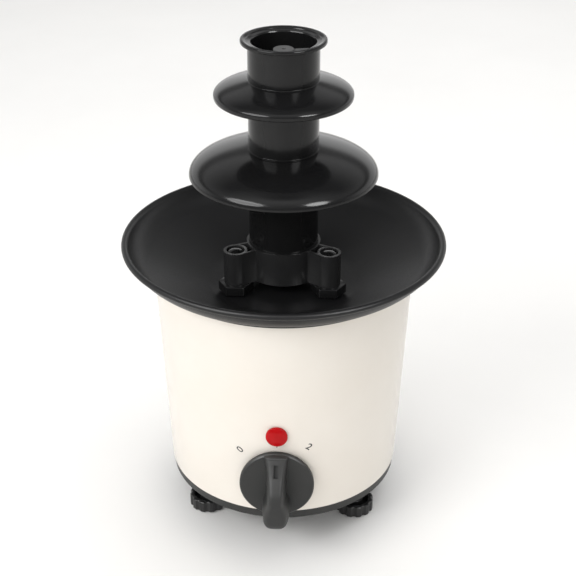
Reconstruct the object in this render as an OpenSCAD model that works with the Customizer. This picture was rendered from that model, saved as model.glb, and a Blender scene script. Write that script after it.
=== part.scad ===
// Tabletop chocolate fountain: heated bowl, stacked tower, geared auger drive
// Millimetres, +Z up, front toward -Y, origin on the table under the tower's axis

/* [Stand] */
// Radius of the circle that the three feet stand on
foot_circle_r = 58.5; // [54:0.5:60]
// Radius of a foot's thumb wheel
foot_wheel_r = 13; // [12:0.5:15]
// Height of a foot, pad and wheel together
foot_h = 9; // [8:0.5:12]
// Radius of a foot's threaded stud
foot_stud_r = 3; // [2.5:0.25:3.5]
// How far a foot screws up or down from its middle setting
foot_travel = 2; // [1:0.5:3]
// Radius of the rubber pad under a foot
pad_r = 9.5; // [8:0.5:10]
// Height of the base plate's underside above the table
stand_h = 25.5; // [22:0.5:32]

/* [Housing] */
// Height of the dark base band that shows under the housing
band_h = 6.6; // [5.5:0.1:8]
// Thickness of the base plate's floor
base_t = 3; // [2.5:0.1:4]
// Outer radius of the housing at its lower edge
housing_bottom_r = 77.6; // [76.5:0.1:79]
// Outer radius of the housing at its upper edge
housing_top_r = 84.5; // [83.5:0.1:86]
// Height of the housing
housing_h = 142.9; // [140:0.1:150]
// Wall thickness of the housing
housing_wall = 2.2; // [1.8:0.1:2.6]

/* [Bowl] */
// Outer radius of the bowl's rim
bowl_r = 105; // [102:0.5:110]
// Height of the rim above the bowl's seat on the housing
rim_h = 20.1; // [19:0.1:23]
// Depth of the bowl's floor below its seat
floor_drop = 11.9; // [11.4:0.1:12.4]
// Radius of the bowl's flat floor
floor_r = 47; // [46.5:0.1:48]
// Thickness of the bowl's wall
bowl_wall = 2.2; // [2:0.1:2.6]
// Slope of the bowl's dished side, in degrees
dish_slope = 23; // [22.25:0.25:24]
// Radius of the rolled bead along the rim
bead_r = 2; // [1.6:0.1:2.4]

/* [Posts] */
// Radius of the circle of the three posts that carry the tower
post_circle_r = 34.5; // [34:0.25:34.75]
// Radius of a post's hexagonal foot, across corners
post_hex_r = 11.5; // [10:0.25:12]
// Height of a post's hexagonal foot
post_hex_h = 6.4; // [6:0.1:9]
// Radius of the pin on top of a post
post_pin_r = 5.6; // [4.4:0.1:5.8]
// Height of that pin
post_pin_h = 21.5; // [18:0.5:21.5]

/* [Tower] */
// Outer radius of the tower's tubes
tube_r = 22.2; // [22:0.1:22.6]
// Bore radius of the tower's tubes
bore_r = 19.9; // [19.5:0.1:20.2]
// Outer radius of the collar
collar_r = 23.9; // [23.7:0.1:25]
// Height of the collar
collar_h = 22.3; // [21.8:0.1:24]
// Outer radius of an ear's boss
ear_r = 7.7; // [7.4:0.1:8]
// Radius of the lower canopy
lower_canopy_r = 59.9; // [50:0.1:70]
// Height of the lower canopy's edge above the bowl's floor
lower_edge_h = 76.8; // [67:0.1:90]
// Rise of the lower canopy from edge to neck
lower_rise = 16.6; // [10:0.1:22]
// Height from one canopy's edge to the next
tier_step = 52.5; // [46:0.1:65]
// Radius of the upper canopy
upper_canopy_r = 43.4; // [36:0.1:50]
// Rise of the upper canopy from edge to neck
upper_rise = 8.9; // [7:0.1:12]
// Height of the short neck on top of each canopy
neck_h = 0.8; // [0.5:0.1:3]
// Height of the spigot that a tube sits on
spigot_h = 8; // [5:0.5:10]
// Thickness of the canopies
canopy_t = 2.4; // [2:0.1:3]
// Height of the crown
crown_h = 25.4; // [23:0.1:32]
// Radius of the crown's flared rim
crown_r = 26.6; // [25:0.1:30]

/* [Auger] */
// Radius of the auger's core
core_r = 6.5; // [6:0.1:8]
// Radius of the auger's flight
flight_r = 19.1; // [17:0.1:19.2]
// Rise of the flight in one turn
flight_pitch = 30; // [24:1:40]
// Thickness of the flight
flight_t = 2.4; // [1.8:0.1:3]
// Depth of the auger's top below the crown's rim
auger_drop = 6.4; // [4:0.1:10]

/* [Drive] */
// Radius of the drive shaft
shaft_r = 4; // [3.6:0.1:4.4]
// Radius of the shaft's hexagonal tip, across corners
tip_r = 3.9; // [3.3:0.1:4]
// Length of the shaft's hexagonal tip
tip_h = 18; // [12:0.5:20]
// Tooth module of the gears
tooth_module = 1; // [0.95:0.01:1]
// Teeth of each large gear
wheel_teeth = 40; // [36:2:40]
// Teeth of each pinion
pinion_teeth = 12; // [12:1:13]
// Face width of the gears
gear_w = 6; // [4.5:0.1:6]
// Length of the sleeves between bowl and gearbox
sleeve_h = 14; // [13:0.1:18]

/* [Motor] */
// Radius of the rotor
rotor_r = 12; // [10.5:0.1:12.5]
// Height of the stator's stack of laminations
stack_h = 20; // [16:0.5:24]
// Width of the stator across its two screws
stator_w = 48; // [46:0.5:50]
// Radius of the rotor's shaft
rotor_shaft_r = 2.5; // [2:0.1:3]

/* [Controls] */
// Height of the knob's axis above the table
knob_z = 58; // [58:0.5:66]
// Radius of the knob's disc
knob_r = 24; // [21:0.1:25]
// Thickness of the knob's disc
knob_disc_t = 3.6; // [3:0.1:4]
// How far the knob's grip stands out from its disc
grip_h = 19.6; // [14:0.1:19.8]
// Half width of the grip at its waist
grip_waist = 5.7; // [5:0.1:6.5]
// Half width of the grip at its lower end
grip_end = 8.7; // [7:0.1:9.2]
// Height of the indicator lamp above the knob's axis
lamp_rise = 36; // [33:0.5:44]
// Radius of the indicator lens
lens_r = 7; // [6.5:0.1:8.5]
// Height of the cord inlet above the table
inlet_z = 48; // [48:0.5:60]
// Bore radius of the cord inlet
inlet_r = 3.4; // [2.8:0.1:3.8]

/* [Fits] */
// Radial gap of a press fit
press_gap = 0.02; // [0.01:0.01:0.04]
// Radial gap of a running fit
run_gap = 0.06; // [0.03:0.01:0.1]
// Radial gap of pieces that lift apart by hand
slip_gap = 0.3; // [0.2:0.05:0.4]
// Radial gap around a screw that passes through
screw_gap = 0.25; // [0.15:0.05:0.4]

/* [Hidden] */

$fn = 96;
// Overshoot of a cut past the face it opens
cut = 1;

// Directions of the feet and of the tower's posts, seen from above
foot_left_a = -150;
foot_right_a = -30;
foot_back_a = 90;
foot_angles = [foot_left_a, foot_right_a, foot_back_a];
post_angles = [-150, -30, 90];
// Directions of the screws that hold the base plate and the bowl
screw_angles = [-90, 30, 150];

// Levels of the housing and the bowl
base_top = stand_h + base_t;
housing_z0 = stand_h + band_h;
seat_z = housing_z0 + housing_h;
rim_z = seat_z + rim_h;
floor_z = seat_z - floor_drop;
floor_under = floor_z - bowl_wall;

// Housing radius at a height, outside and inside
function housing_r(z) =
  housing_bottom_r + (housing_top_r - housing_bottom_r) * (z - housing_z0) / housing_h;
function housing_in(z) = housing_r(z) - housing_wall;
housing_max_r = max(housing_bottom_r, housing_top_r);

// Widest outside and narrowest inside of the housing within a reach above and below a height
function wall_out(z, reach) = max(housing_r(z - reach), housing_r(z + reach));
function wall_in(z, reach) = min(housing_in(z - reach), housing_in(z + reach));

// Feet
pad_h = 2.4;
wheel_lift = 0.8;
wheel_rim = 3;
wheel_hub_r = foot_stud_r + 2.6;
wheel_web_top = pad_h + 2;
scallop_count = 12;
scallop_r = 2.4;
nut_h = 5;
nut_r = foot_stud_r * 1.92;
nut_z = base_top + 2;
foot_boss_r = nut_r + 2.6;
stud_top = nut_z + nut_h + foot_travel + 1.5;

// Base plate
spigot_r = housing_bottom_r - housing_wall - slip_gap;
spigot_t = 2;
spigot_h_base = 6;
spigot_top = housing_z0 + spigot_h_base;
base_boss_r = 4.2;
base_boss_gap = 1.9;
base_screw_circle_r = spigot_r - spigot_t - base_boss_r - base_boss_gap;
switch_size = 26;
base_boss_top = min(base_top + 17, knob_z - switch_size / 2 - 0.5);
base_screw_r = 1.75;
vent_count = 5;
vent_w = 3;
vent_len = 26;

// Bowl, dished side and the steep wall that bends up from it to the bead
wall_end = 75;
wall_top_r = bowl_r - 2 * bead_r;
wall_top_z = rim_z - bead_r * 0.3;
wall_run = sin(wall_end) - sin(dish_slope);
wall_climb = cos(dish_slope) - cos(wall_end);
wall_rho = (wall_top_z - floor_z - (wall_top_r - floor_r) * tan(dish_slope))
  / (wall_climb - wall_run * tan(dish_slope));
dish_end_r = wall_top_r - wall_rho * wall_run;
dish_end_z = floor_z + (dish_end_r - floor_r) * tan(dish_slope);
wall_c_r = dish_end_r - wall_rho * sin(dish_slope);
wall_c_z = dish_end_z + wall_rho * cos(dish_slope);
wall_steps = 7;

// Height of the bowl's inside at a radius outside its floor
function bowl_inside(r) = r < dish_end_r
  ? floor_z + (r - floor_r) * tan(dish_slope)
  : wall_c_z - sqrt(wall_rho * wall_rho - (r - wall_c_r) * (r - wall_c_r));
seat_in_r = housing_top_r - housing_wall - 1.5;
seat_out_r = housing_top_r + 0.5;
seat_skin = 0.5;
seat_ring_top = bowl_inside(seat_in_r) - seat_skin;
hub_r = 9.5;
hub_h = 5;
seal_r = 7;
seal_z = floor_z - 1;
bowl_screw_circle_r = 66;
bowl_screw_r = 2;
bowl_boss_r = 4;
bowl_boss_top = bowl_inside(bowl_screw_circle_r - bowl_boss_r) - 0.4;
tab_t = 3;
tab_drop = 25;
tab_top = seat_z - tab_drop;
tab_w = 14;

// Posts
gasket_t = 1;
gasket_r = 8;
post_z = floor_z + gasket_t;
collar_z = post_z + post_hex_h;
post_dome_r = 8;
post_top = collar_z + post_pin_h;
post_screw_r = 2.5;
post_screw_depth = 9;
post_screw_head_r = 4.3;
post_screw_head_h = 3.6;
sleeve_r = 5;

// Tower
ledge_h = 2;
ear_bore_r = post_pin_r + slip_gap;
tube_z = collar_z + ledge_h;
lower_edge_z = floor_z + lower_edge_h;
upper_edge_z = lower_edge_z + tier_step;
lower_joint_z = lower_edge_z + lower_rise + neck_h;
upper_joint_z = upper_edge_z + upper_rise + neck_h;
crown_top = upper_joint_z + crown_h;
spigot_out_r = tube_r - 1.2;
socket_r = spigot_out_r + 0.1;
socket_h = spigot_h + 0.4;
canopy_steps = 12;
canopy_lip = 0.5;
lower_dome = [1.3, 2.2];
upper_dome = [0.85, 2.2];

// Auger and its drive tip
shaft_shoulder_z = floor_z + hub_h + 1.8;
tip_top = shaft_shoulder_z + tip_h;
auger_z = shaft_shoulder_z;
auger_top = crown_top - auger_drop;
tip_gap = 0.2;
flight_steps = 24;
flight_end_a = 12;
flight_root = core_r - 1;
flight_z0 = auger_z + 1.5;
flight_z1 = auger_top - 0.5;

// Gear train: output gear on the tower's axis, idler, then the rotor's pinion
pressure_a = 20;
backlash = 0.3;
gear_centre = tooth_module * (wheel_teeth + pinion_teeth) / 2;
wheel_tip_r = tooth_module * (wheel_teeth / 2 + 0.9);
pinion_tip_r = tooth_module * (pinion_teeth / 2 + 0.9);
idler_a = 30;
rotor_a = 90;
idler_x = gear_centre * cos(idler_a);
idler_y = gear_centre * sin(idler_a);
rotor_x = idler_x + gear_centre * cos(rotor_a);
rotor_y = idler_y + gear_centre * sin(rotor_a);

// Gearbox levels, from the cover down
cover_t = 2.5;
case_t = 2.5;
gear_gap = 1.5;
case_wall = 2;
cover_top = floor_under - sleeve_h;
cover_z = cover_top - cover_t;
output_z = cover_z - gear_gap - gear_w;
idler_z = output_z - gear_gap - gear_w;
case_floor = idler_z - 1;
case_z = case_floor - case_t;
case_r = wheel_tip_r + 0.8 + case_wall;
case_pinion_r = pinion_tip_r + 1.6 + case_wall;
case_boss_r = 3.5;
case_screw_r = 1.4;
bush_wall = 2.4;
bush_r = shaft_r + bush_wall;
bush_boss_r = bush_r + 3;
bush_boss_h = 3;
idler_pin_r = 2;
lug_r = 7;
lug_w = 11;

// Motor levels, from the gearbox down
stator_gap = 11.5;
stator_top = case_z - stator_gap;
stator_z = stator_top - stack_h;
air_gap = 0.4;
pole_r = rotor_r + air_gap;
stator_front = rotor_y + pole_r + 4;
window_y1 = rotor_y - pole_r - 3.2;
coil_build = 6.6;
bobbin_wall = 0.8;
core_gap = 0.15;
leg_w = 9;
window_y0 = window_y1 - 2 * coil_build;
leg_y = window_y0 - leg_w / 2;
window_w = 26;
bobbin_len = window_w - 1;
flange_t = 1;
stator_screw_x = stator_w / 2 - 4.5;
motor_screw_r = 1.75;
stator_boss_r = 4;
rotor_bush_wall = 2;
rotor_bush_r = rotor_shaft_r + rotor_bush_wall;
bracket_t = 3;
bracket_gap = 3;
bracket_z = stator_z - bracket_gap - bracket_t;
bracket_w = 14;

// Heater and its guards under the bowl's floor
element_w = 6.6;
element_h = 6;
element_circle_r = floor_r - 3.8;
element_gap_a = 30;
element_pin_r = 1.5;
element_pin_h = 9;
thermostat_r = 8;
thermostat_h = 8.5;
thermostat_x = -20;
thermostat_y = 12;
fuse_r = 2.2;
fuse_len = 13;
fuse_y = -24;

// Controls on the front
spindle_r = 3;
spindle_flat = 2;
knob_gap = 0.65;
knob_back = -wall_out(knob_z, knob_r) - knob_gap;
knob_face = knob_back - knob_disc_t;
grip_top = knob_face - grip_h;
pointer_w = 3;
pointer_len = 8;
switch_front = 5 - housing_in(knob_z);
switch_depth = 22;
switch_neck_r = 5;
switch_ear_t = 2.5;
switch_screw_x = 18;
switch_screw_r = 1.4;
switch_boss_r = 3.4;
lamp_z = knob_z + lamp_rise;
lens_gap = 0.26;
lens_back = -wall_out(lamp_z, lens_r) - lens_gap;
lens_flange_t = 1.4;
lens_dome_h = 1.8;
lens_tube_r = 4.9;
lens_tube_wall = 0.9;
lens_depth = 14;
lamp_tube_r = lens_tube_r - lens_tube_wall - 0.1;
lamp_tube_len = 20;
clip_t = 1.2;

// Cord inlet at the back
gland_r = inlet_r + 2.2;
gland_flange_r = gland_r + 3;
gland_flange_t = 2.4;
gland_out = wall_out(inlet_z, gland_flange_r);
gland_in = housing_in(inlet_z) - 11;
gland_nut_t = 5;
gland_nut_r = gland_r + 3.2;
gland_nut_y = wall_in(inlet_z, gland_nut_r) - 1 - gland_nut_t;

// Terminal block on the base plate
block_x = -30;
block_y = 20;
block_len = 30;
block_w = 14;
block_h = 12;

// Places and turns

module at_polar(angles, radius) {
  for (a = angles) translate([radius * cos(a), radius * sin(a), 0]) children();
}

module spread(angles, radius) {
  for (a = angles) rotate([0, 0, a]) translate([radius, 0, 0]) children();
}

module at_idler() {
  translate([idler_x, idler_y, 0]) children();
}

module at_rotor() {
  translate([rotor_x, rotor_y, 0]) children();
}

// A disc or bar whose axis runs from y0 toward y1, y0 below y1
module rod_y(x, z, y0, y1, r) {
  translate([x, y1, z]) rotate([90, 0, 0]) cylinder(h = y1 - y0, r = r);
}

module rod_z(z0, z1, r) {
  translate([0, 0, z0]) cylinder(h = z1 - z0, r = r);
}

module pipe_z(z0, z1, r_out, r_in) {
  difference() {
    rod_z(z0, z1, r_out);
    rod_z(z0 - cut, z1 + cut, r_in);
  }
}

module block(x0, x1, y0, y1, z0, z1) {
  translate([x0, y0, z0]) cube([x1 - x0, y1 - y0, z1 - z0]);
}

// A screw that points up, its head under z0, with a hexagonal recess
module screw_up(z0, z1, r, head_r, head_h) {
  difference() {
    union() {
      rod_z(z0 - head_h / 2, z1, r);
      rod_z(z0 - head_h, z0, head_r);
    }
    translate([0, 0, z0 - head_h - cut]) cylinder(h = head_h * 0.4 + cut, r = head_r * 0.5, $fn = 6);
  }
}

// Stand

module base_plate() {
  color([0.27, 0.27, 0.26]) difference() {
    union() {
      rotate_extrude() polygon([
        [0, stand_h],
        [housing_bottom_r - 1.7, stand_h],
        [housing_bottom_r - 0.9, stand_h + 0.8],
        [housing_bottom_r - 0.3, housing_z0],
        [spigot_r, housing_z0],
        [spigot_r, spigot_top],
        [spigot_r - spigot_t, spigot_top],
        [spigot_r - spigot_t, base_top],
        [0, base_top]
      ]);
      at_polar(foot_angles, foot_circle_r) rod_z(stand_h + 1, nut_z + nut_h, foot_boss_r);
    }
    at_polar(foot_angles, foot_circle_r) {
      rod_z(stand_h - cut, nut_z + cut, foot_stud_r + screw_gap);
      translate([0, 0, nut_z]) cylinder(h = nut_h + cut, r = nut_r + 0.1, $fn = 6);
    }
    spread(screw_angles, base_screw_circle_r)
      rod_z(stand_h - cut, base_top + cut, base_screw_r + screw_gap);
    for (i = [0 : vent_count - 1])
      block(20, 20 + vent_len, (i - 2) * 8 - vent_w / 2, (i - 2) * 8 + vent_w / 2,
        stand_h - cut, base_top + cut);
  }
}

module base_screws() {
  color([0.7, 0.7, 0.72]) spread(screw_angles, base_screw_circle_r)
    screw_up(stand_h, base_boss_top - 4, base_screw_r, 3.4, 2);
}

module foot_nuts() {
  color([0.75, 0.72, 0.6]) at_polar(foot_angles, foot_circle_r) difference() {
    translate([0, 0, nut_z]) cylinder(h = nut_h, r = nut_r, $fn = 6);
    rod_z(nut_z - cut, nut_z + nut_h + cut, foot_stud_r + run_gap);
  }
}

module foot_pad(a) {
  color([0.1, 0.1, 0.1]) at_polar([a], foot_circle_r) rod_z(0, pad_h, pad_r);
}

module foot_wheel(a) {
  color([0.12, 0.12, 0.12]) at_polar([a], foot_circle_r) difference() {
    rod_z(wheel_lift, foot_h, foot_wheel_r);
    rod_z(wheel_lift - cut, pad_h, pad_r + slip_gap);
    pipe_z(wheel_web_top, foot_h + cut, foot_wheel_r - wheel_rim, wheel_hub_r);
    rod_z(pad_h, foot_h + cut, foot_stud_r + press_gap);
    for (i = [0 : scallop_count - 1])
      rotate([0, 0, i * 360 / scallop_count])
        translate([foot_wheel_r + scallop_r * 0.6, 0, 0]) rod_z(0, foot_h + cut, scallop_r);
  }
}

module foot_stud(a) {
  color([0.75, 0.75, 0.77]) at_polar([a], foot_circle_r) rod_z(pad_h, stud_top, foot_stud_r);
}

module foot_pad_left() { foot_pad(foot_left_a); }
module foot_pad_right() { foot_pad(foot_right_a); }
module foot_pad_back() { foot_pad(foot_back_a); }
module foot_wheel_left() { foot_wheel(foot_left_a); }
module foot_wheel_right() { foot_wheel(foot_right_a); }
module foot_wheel_back() { foot_wheel(foot_back_a); }
module foot_stud_left() { foot_stud(foot_left_a); }
module foot_stud_right() { foot_stud(foot_right_a); }
module foot_stud_back() { foot_stud(foot_back_a); }

// Housing

// Solid cone that trims the inner bosses and tabs inside the wall
module housing_trim() {
  trim_in = housing_wall / 2;
  translate([0, 0, stand_h]) cylinder(
    h = seat_z - stand_h,
    r1 = housing_r(stand_h) - trim_in,
    r2 = housing_r(seat_z) - trim_in
  );
}

module housing_bosses() {
  spread(screw_angles, base_screw_circle_r) {
    rod_z(base_top, base_boss_top, base_boss_r);
    block(0, housing_max_r - base_screw_circle_r, -1.5, 1.5, spigot_top + 1, base_boss_top);
  }
  spread(screw_angles, bowl_screw_circle_r)
    block(-7, housing_max_r - bowl_screw_circle_r, -tab_w / 2, tab_w / 2, tab_top - tab_t, tab_top);
  for (x = [-switch_screw_x, switch_screw_x])
    rod_y(x, knob_z, -housing_r(knob_z), switch_front, switch_boss_r);
}

module housing() {
  color([0.93, 0.92, 0.88]) difference() {
    union() {
      rotate_extrude() polygon([
        [housing_in(housing_z0), housing_z0],
        [housing_bottom_r, housing_z0],
        [housing_top_r, seat_z],
        [housing_in(seat_z), seat_z]
      ]);
      intersection() {
        housing_trim();
        housing_bosses();
      }
    }
    spread(screw_angles, base_screw_circle_r)
      rod_z(base_top - cut, base_boss_top - 3, base_screw_r + press_gap);
    spread(screw_angles, bowl_screw_circle_r)
      rod_z(tab_top - tab_t - cut, tab_top + cut, bowl_screw_r + screw_gap);
    rod_y(0, knob_z, -housing_max_r - cut, switch_front - cut, switch_neck_r + screw_gap);
    for (x = [-switch_screw_x, switch_screw_x])
      rod_y(x, knob_z, switch_front - 4, switch_front + cut, switch_screw_r + press_gap);
    rod_y(0, lamp_z, -housing_max_r - cut, -housing_in(lamp_z) + 3, lens_tube_r + screw_gap);
    rod_y(0, inlet_z, housing_in(inlet_z) - 3, housing_max_r + cut, gland_r + screw_gap);
  }
}

// Bowl

function wall_point(rho, t) = [wall_c_r + rho * sin(t), wall_c_z - rho * cos(t)];

// Angle up the steep wall at one of its steps
function wall_t(i) = dish_slope + (wall_end - dish_slope) * i / wall_steps;

module bowl_shell() {
  under_r = floor_r - bowl_wall * tan(dish_slope / 2);
  inner = [for (i = [0 : wall_steps]) wall_point(wall_rho, wall_t(i))];
  outer = [for (i = [wall_steps : -1 : 0]) wall_point(wall_rho + bowl_wall, wall_t(i))];
  rotate_extrude() polygon(concat(
    [[0, floor_z], [floor_r, floor_z]],
    inner,
    outer,
    [[under_r, floor_under], [0, floor_under]]
  ));
  rotate_extrude() translate([bowl_r - bead_r, rim_z - bead_r]) circle(r = bead_r);
}

module bowl() {
  color([0.09, 0.09, 0.1]) difference() {
    union() {
      bowl_shell();
      pipe_z(seat_z, seat_ring_top, seat_out_r, seat_in_r);
      rod_z(floor_under, floor_z + hub_h, hub_r);
      spread(screw_angles, bowl_screw_circle_r) rod_z(tab_top, bowl_boss_top, bowl_boss_r);
    }
    rod_z(floor_under - cut, floor_z + hub_h + cut, shaft_r + 1);
    rod_z(seal_z, floor_z + hub_h + cut, seal_r);
    at_polar(post_angles, post_circle_r)
      rod_z(floor_under - cut, floor_z + cut, post_screw_r + screw_gap);
    spread(screw_angles, bowl_screw_circle_r)
      rod_z(tab_top - cut, bowl_boss_top - 4, bowl_screw_r + press_gap);
  }
}

module bowl_screws() {
  color([0.7, 0.7, 0.72]) spread(screw_angles, bowl_screw_circle_r)
    screw_up(tab_top - tab_t, bowl_boss_top - 5, bowl_screw_r, 3.8, 2.4);
}

module shaft_seal() {
  color([0.12, 0.12, 0.12]) pipe_z(seal_z, floor_z + hub_h - 0.5, seal_r - press_gap, shaft_r + run_gap);
}

// Posts that carry the tower

module tower_posts() {
  cap_h = post_dome_r - sqrt(post_dome_r * post_dome_r - post_pin_r * post_pin_r);
  color([0.1, 0.1, 0.11]) at_polar(post_angles, post_circle_r) difference() {
    union() {
      translate([0, 0, post_z]) cylinder(h = post_hex_h, r = post_hex_r, $fn = 6);
      rod_z(post_z + 1, post_top - cap_h, post_pin_r);
      intersection() {
        rod_z(post_top - cap_h - 0.5, post_top, post_pin_r);
        translate([0, 0, post_top - post_dome_r]) sphere(r = post_dome_r);
      }
    }
    rod_z(post_z - cut, post_z + post_screw_depth + 2, post_screw_r + press_gap);
  }
}

module post_gaskets() {
  color([0.12, 0.12, 0.12]) at_polar(post_angles, post_circle_r)
    pipe_z(floor_z, post_z, gasket_r, post_screw_r + screw_gap);
}

module post_screws() {
  color([0.7, 0.7, 0.72]) at_polar(post_angles, post_circle_r)
    screw_up(cover_z, post_z + post_screw_depth, post_screw_r, post_screw_head_r, post_screw_head_h);
}

module post_sleeves() {
  color([0.7, 0.7, 0.72]) at_polar(post_angles, post_circle_r)
    pipe_z(cover_top, floor_under, sleeve_r, post_screw_r + screw_gap);
}

// Gearbox

// Outline of the gearbox as solid columns, each radius taken in by inset
module case_columns(z0, z1, inset) {
  r = case_r - inset;
  rp = case_pinion_r - inset;
  bar = r - 0.6;
  bar_p = rp - 0.6;
  rod_z(z0, z1, r);
  rotate([0, 0, idler_a]) block(0, gear_centre, -bar, bar, z0, z1);
  at_idler() rod_z(z0, z1, r);
  at_idler() rotate([0, 0, rotor_a]) block(0, gear_centre, -bar_p, bar_p, z0, z1);
  at_rotor() rod_z(z0, z1, rp);
}

// Places of the four screws that close the gearbox
module at_case_screws() {
  reach = case_r + 1.5;
  at_polar([-150, -80], reach) children();
  at_idler() at_polar([-30, 60], reach) children();
}

module gearbox_case() {
  color([0.85, 0.85, 0.8]) difference() {
    union() {
      case_columns(case_z, cover_z, 0);
      at_case_screws() rod_z(case_z, cover_z, case_boss_r);
      at_rotor() {
        block(-stator_screw_x, stator_screw_x, -stator_boss_r, stator_boss_r, case_z, case_floor);
        for (x = [-stator_screw_x, stator_screw_x])
          translate([x, 0, 0]) rod_z(stator_top, case_floor, stator_boss_r);
        rod_z(case_z - bush_boss_h, case_floor, rotor_bush_r + 2);
      }
      rod_z(case_z - bush_boss_h, case_floor, bush_boss_r);
    }
    case_columns(case_floor, cover_z + cut, case_wall);
    rod_z(case_z - bush_boss_h - cut, case_floor + cut, bush_r);
    at_idler() rod_z(case_z - cut, case_floor + cut, idler_pin_r + press_gap);
    at_case_screws() rod_z(cover_z - 9, cover_z + cut, case_screw_r + press_gap);
    at_rotor() {
      rod_z(case_z - bush_boss_h - cut, case_floor + cut, rotor_bush_r);
      for (x = [-stator_screw_x, stator_screw_x])
        translate([x, 0, 0]) rod_z(stator_top - cut, stator_top + 9, motor_screw_r + press_gap);
    }
  }
}

module gearbox_cover() {
  color([0.8, 0.8, 0.76]) difference() {
    union() {
      case_columns(cover_z, cover_top, 0);
      at_case_screws() rod_z(cover_z, cover_top, case_boss_r);
      for (a = post_angles) rotate([0, 0, a])
        block(0, post_circle_r, -lug_w / 2, lug_w / 2, cover_z, cover_top);
      at_polar(post_angles, post_circle_r) rod_z(cover_z, cover_top, lug_r);
      rod_z(cover_z, cover_top + bush_boss_h, bush_boss_r);
    }
    rod_z(cover_z - cut, cover_top + bush_boss_h + cut, bush_r);
    at_idler() rod_z(cover_z - cut, cover_top + cut, idler_pin_r + press_gap);
    at_case_screws() rod_z(cover_z - cut, cover_top + cut, case_screw_r + screw_gap);
    at_polar(post_angles, post_circle_r)
      rod_z(cover_z - cut, cover_top + cut, post_screw_r + screw_gap);
  }
}

module gearbox_screws() {
  color([0.7, 0.7, 0.72]) at_case_screws() {
    rod_z(cover_z - 8, cover_top, case_screw_r);
    rod_z(cover_top, cover_top + 1.6, case_screw_r * 1.9);
  }
}

module shaft_bush_upper() {
  color([0.72, 0.55, 0.3])
    pipe_z(cover_z - 0.5, cover_top + bush_boss_h, bush_r - press_gap, shaft_r + run_gap);
}

module shaft_bush_lower() {
  color([0.72, 0.55, 0.3])
    pipe_z(case_z - bush_boss_h, case_floor + 0.5, bush_r - press_gap, shaft_r + run_gap);
}

module idler_pin() {
  color([0.75, 0.75, 0.77]) at_idler() rod_z(case_z, cover_top, idler_pin_r);
}

// Gears

function involute(a) = tan(a) * 180 / PI - a;

// Half angle that a tooth takes up at a radius
function tooth_half(r, base_r, pitch_r, teeth) =
  90 / teeth - backlash / (4 * pitch_r) * 180 / PI
  + involute(pressure_a) - involute(acos(min(1, base_r / r)));

function on_circle(r, a) = [r * cos(a), r * sin(a)];

// Outline of a gear whose first tooth points at the given angle
function gear_outline(teeth, first_a) =
  let (
    pitch_r = tooth_module * teeth / 2,
    base_r = pitch_r * cos(pressure_a),
    root_r = pitch_r - 1.2 * tooth_module,
    tip_r = pitch_r + 0.9 * tooth_module,
    radii = [root_r, max(root_r, base_r) + 0.01, pitch_r, (pitch_r + tip_r) / 2, tip_r],
    last = len(radii) - 1
  ) [
    for (k = [0 : teeth - 1], side = [-1, 1], i = [0 : last])
      let (
        r = radii[side < 0 ? i : last - i],
        a = first_a + k * 360 / teeth + side * tooth_half(r, base_r, pitch_r, teeth)
      ) on_circle(r, a)
  ];

module spur(teeth, first_a, z0, z1) {
  translate([0, 0, z0]) linear_extrude(height = z1 - z0) polygon(gear_outline(teeth, first_a));
}

module output_gear() {
  color([0.9, 0.88, 0.8]) difference() {
    union() {
      spur(wheel_teeth, idler_a, output_z, output_z + gear_w);
      rod_z(output_z - 0.6, output_z + gear_w + 0.6, shaft_r + 4);
    }
    rod_z(output_z - gear_gap, cover_z, shaft_r + press_gap);
  }
}

module idler_gear() {
  color([0.85, 0.83, 0.75]) at_idler() difference() {
    union() {
      spur(wheel_teeth, rotor_a, idler_z, idler_z + gear_w);
      spur(pinion_teeth, idler_a + 180 + 180 / pinion_teeth, idler_z + gear_w - 0.5, cover_z - 0.6);
    }
    rod_z(idler_z - cut, cover_z, idler_pin_r + run_gap);
  }
}

// Motor

module rotor_shaft() {
  color([0.75, 0.75, 0.77]) at_rotor() {
    rod_z(bracket_z - 4, idler_z + gear_w + 0.8, rotor_shaft_r);
    spur(pinion_teeth, rotor_a + 180 + 180 / pinion_teeth, idler_z - 0.3, idler_z + gear_w + 0.5);
  }
}

module rotor_core() {
  color([0.55, 0.55, 0.57]) at_rotor()
    pipe_z(stator_z, stator_top, rotor_r, rotor_shaft_r + press_gap);
}

module rotor_bush_upper() {
  color([0.72, 0.55, 0.3]) at_rotor()
    pipe_z(case_z - bush_boss_h, case_floor + 0.4, rotor_bush_r - press_gap, rotor_shaft_r + run_gap);
}

module rotor_bush_lower() {
  color([0.72, 0.55, 0.3]) at_rotor()
    pipe_z(bracket_z - 2, bracket_z + bracket_t + 1, rotor_bush_r - press_gap, rotor_shaft_r + run_gap);
}

module stator_core() {
  color([0.5, 0.5, 0.53]) difference() {
    translate([rotor_x, 0, 0])
      block(-stator_w / 2, stator_w / 2, leg_y - leg_w / 2, stator_front, stator_z, stator_top);
    at_rotor() {
      rod_z(stator_z - cut, stator_top + cut, pole_r);
      for (x = [-stator_screw_x, stator_screw_x])
        translate([x, 0, 0]) rod_z(stator_z - cut, stator_top + cut, motor_screw_r + screw_gap);
    }
    translate([rotor_x, 0, 0])
      block(-window_w / 2, window_w / 2, window_y0, window_y1, stator_z - cut, stator_top + cut);
  }
}

// A square tube around the stator's leg, its opening wide by inner, its wall by build
module leg_wrap(x0, x1, inner, build) {
  y = leg_w / 2 + inner;
  z = stack_h / 2 + inner;
  translate([rotor_x, leg_y, stator_z + stack_h / 2]) difference() {
    block(x0, x1, -y - build, y + build, -z - build, z + build);
    block(x0 - cut, x1 + cut, -y, y, -z, z);
  }
}

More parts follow.
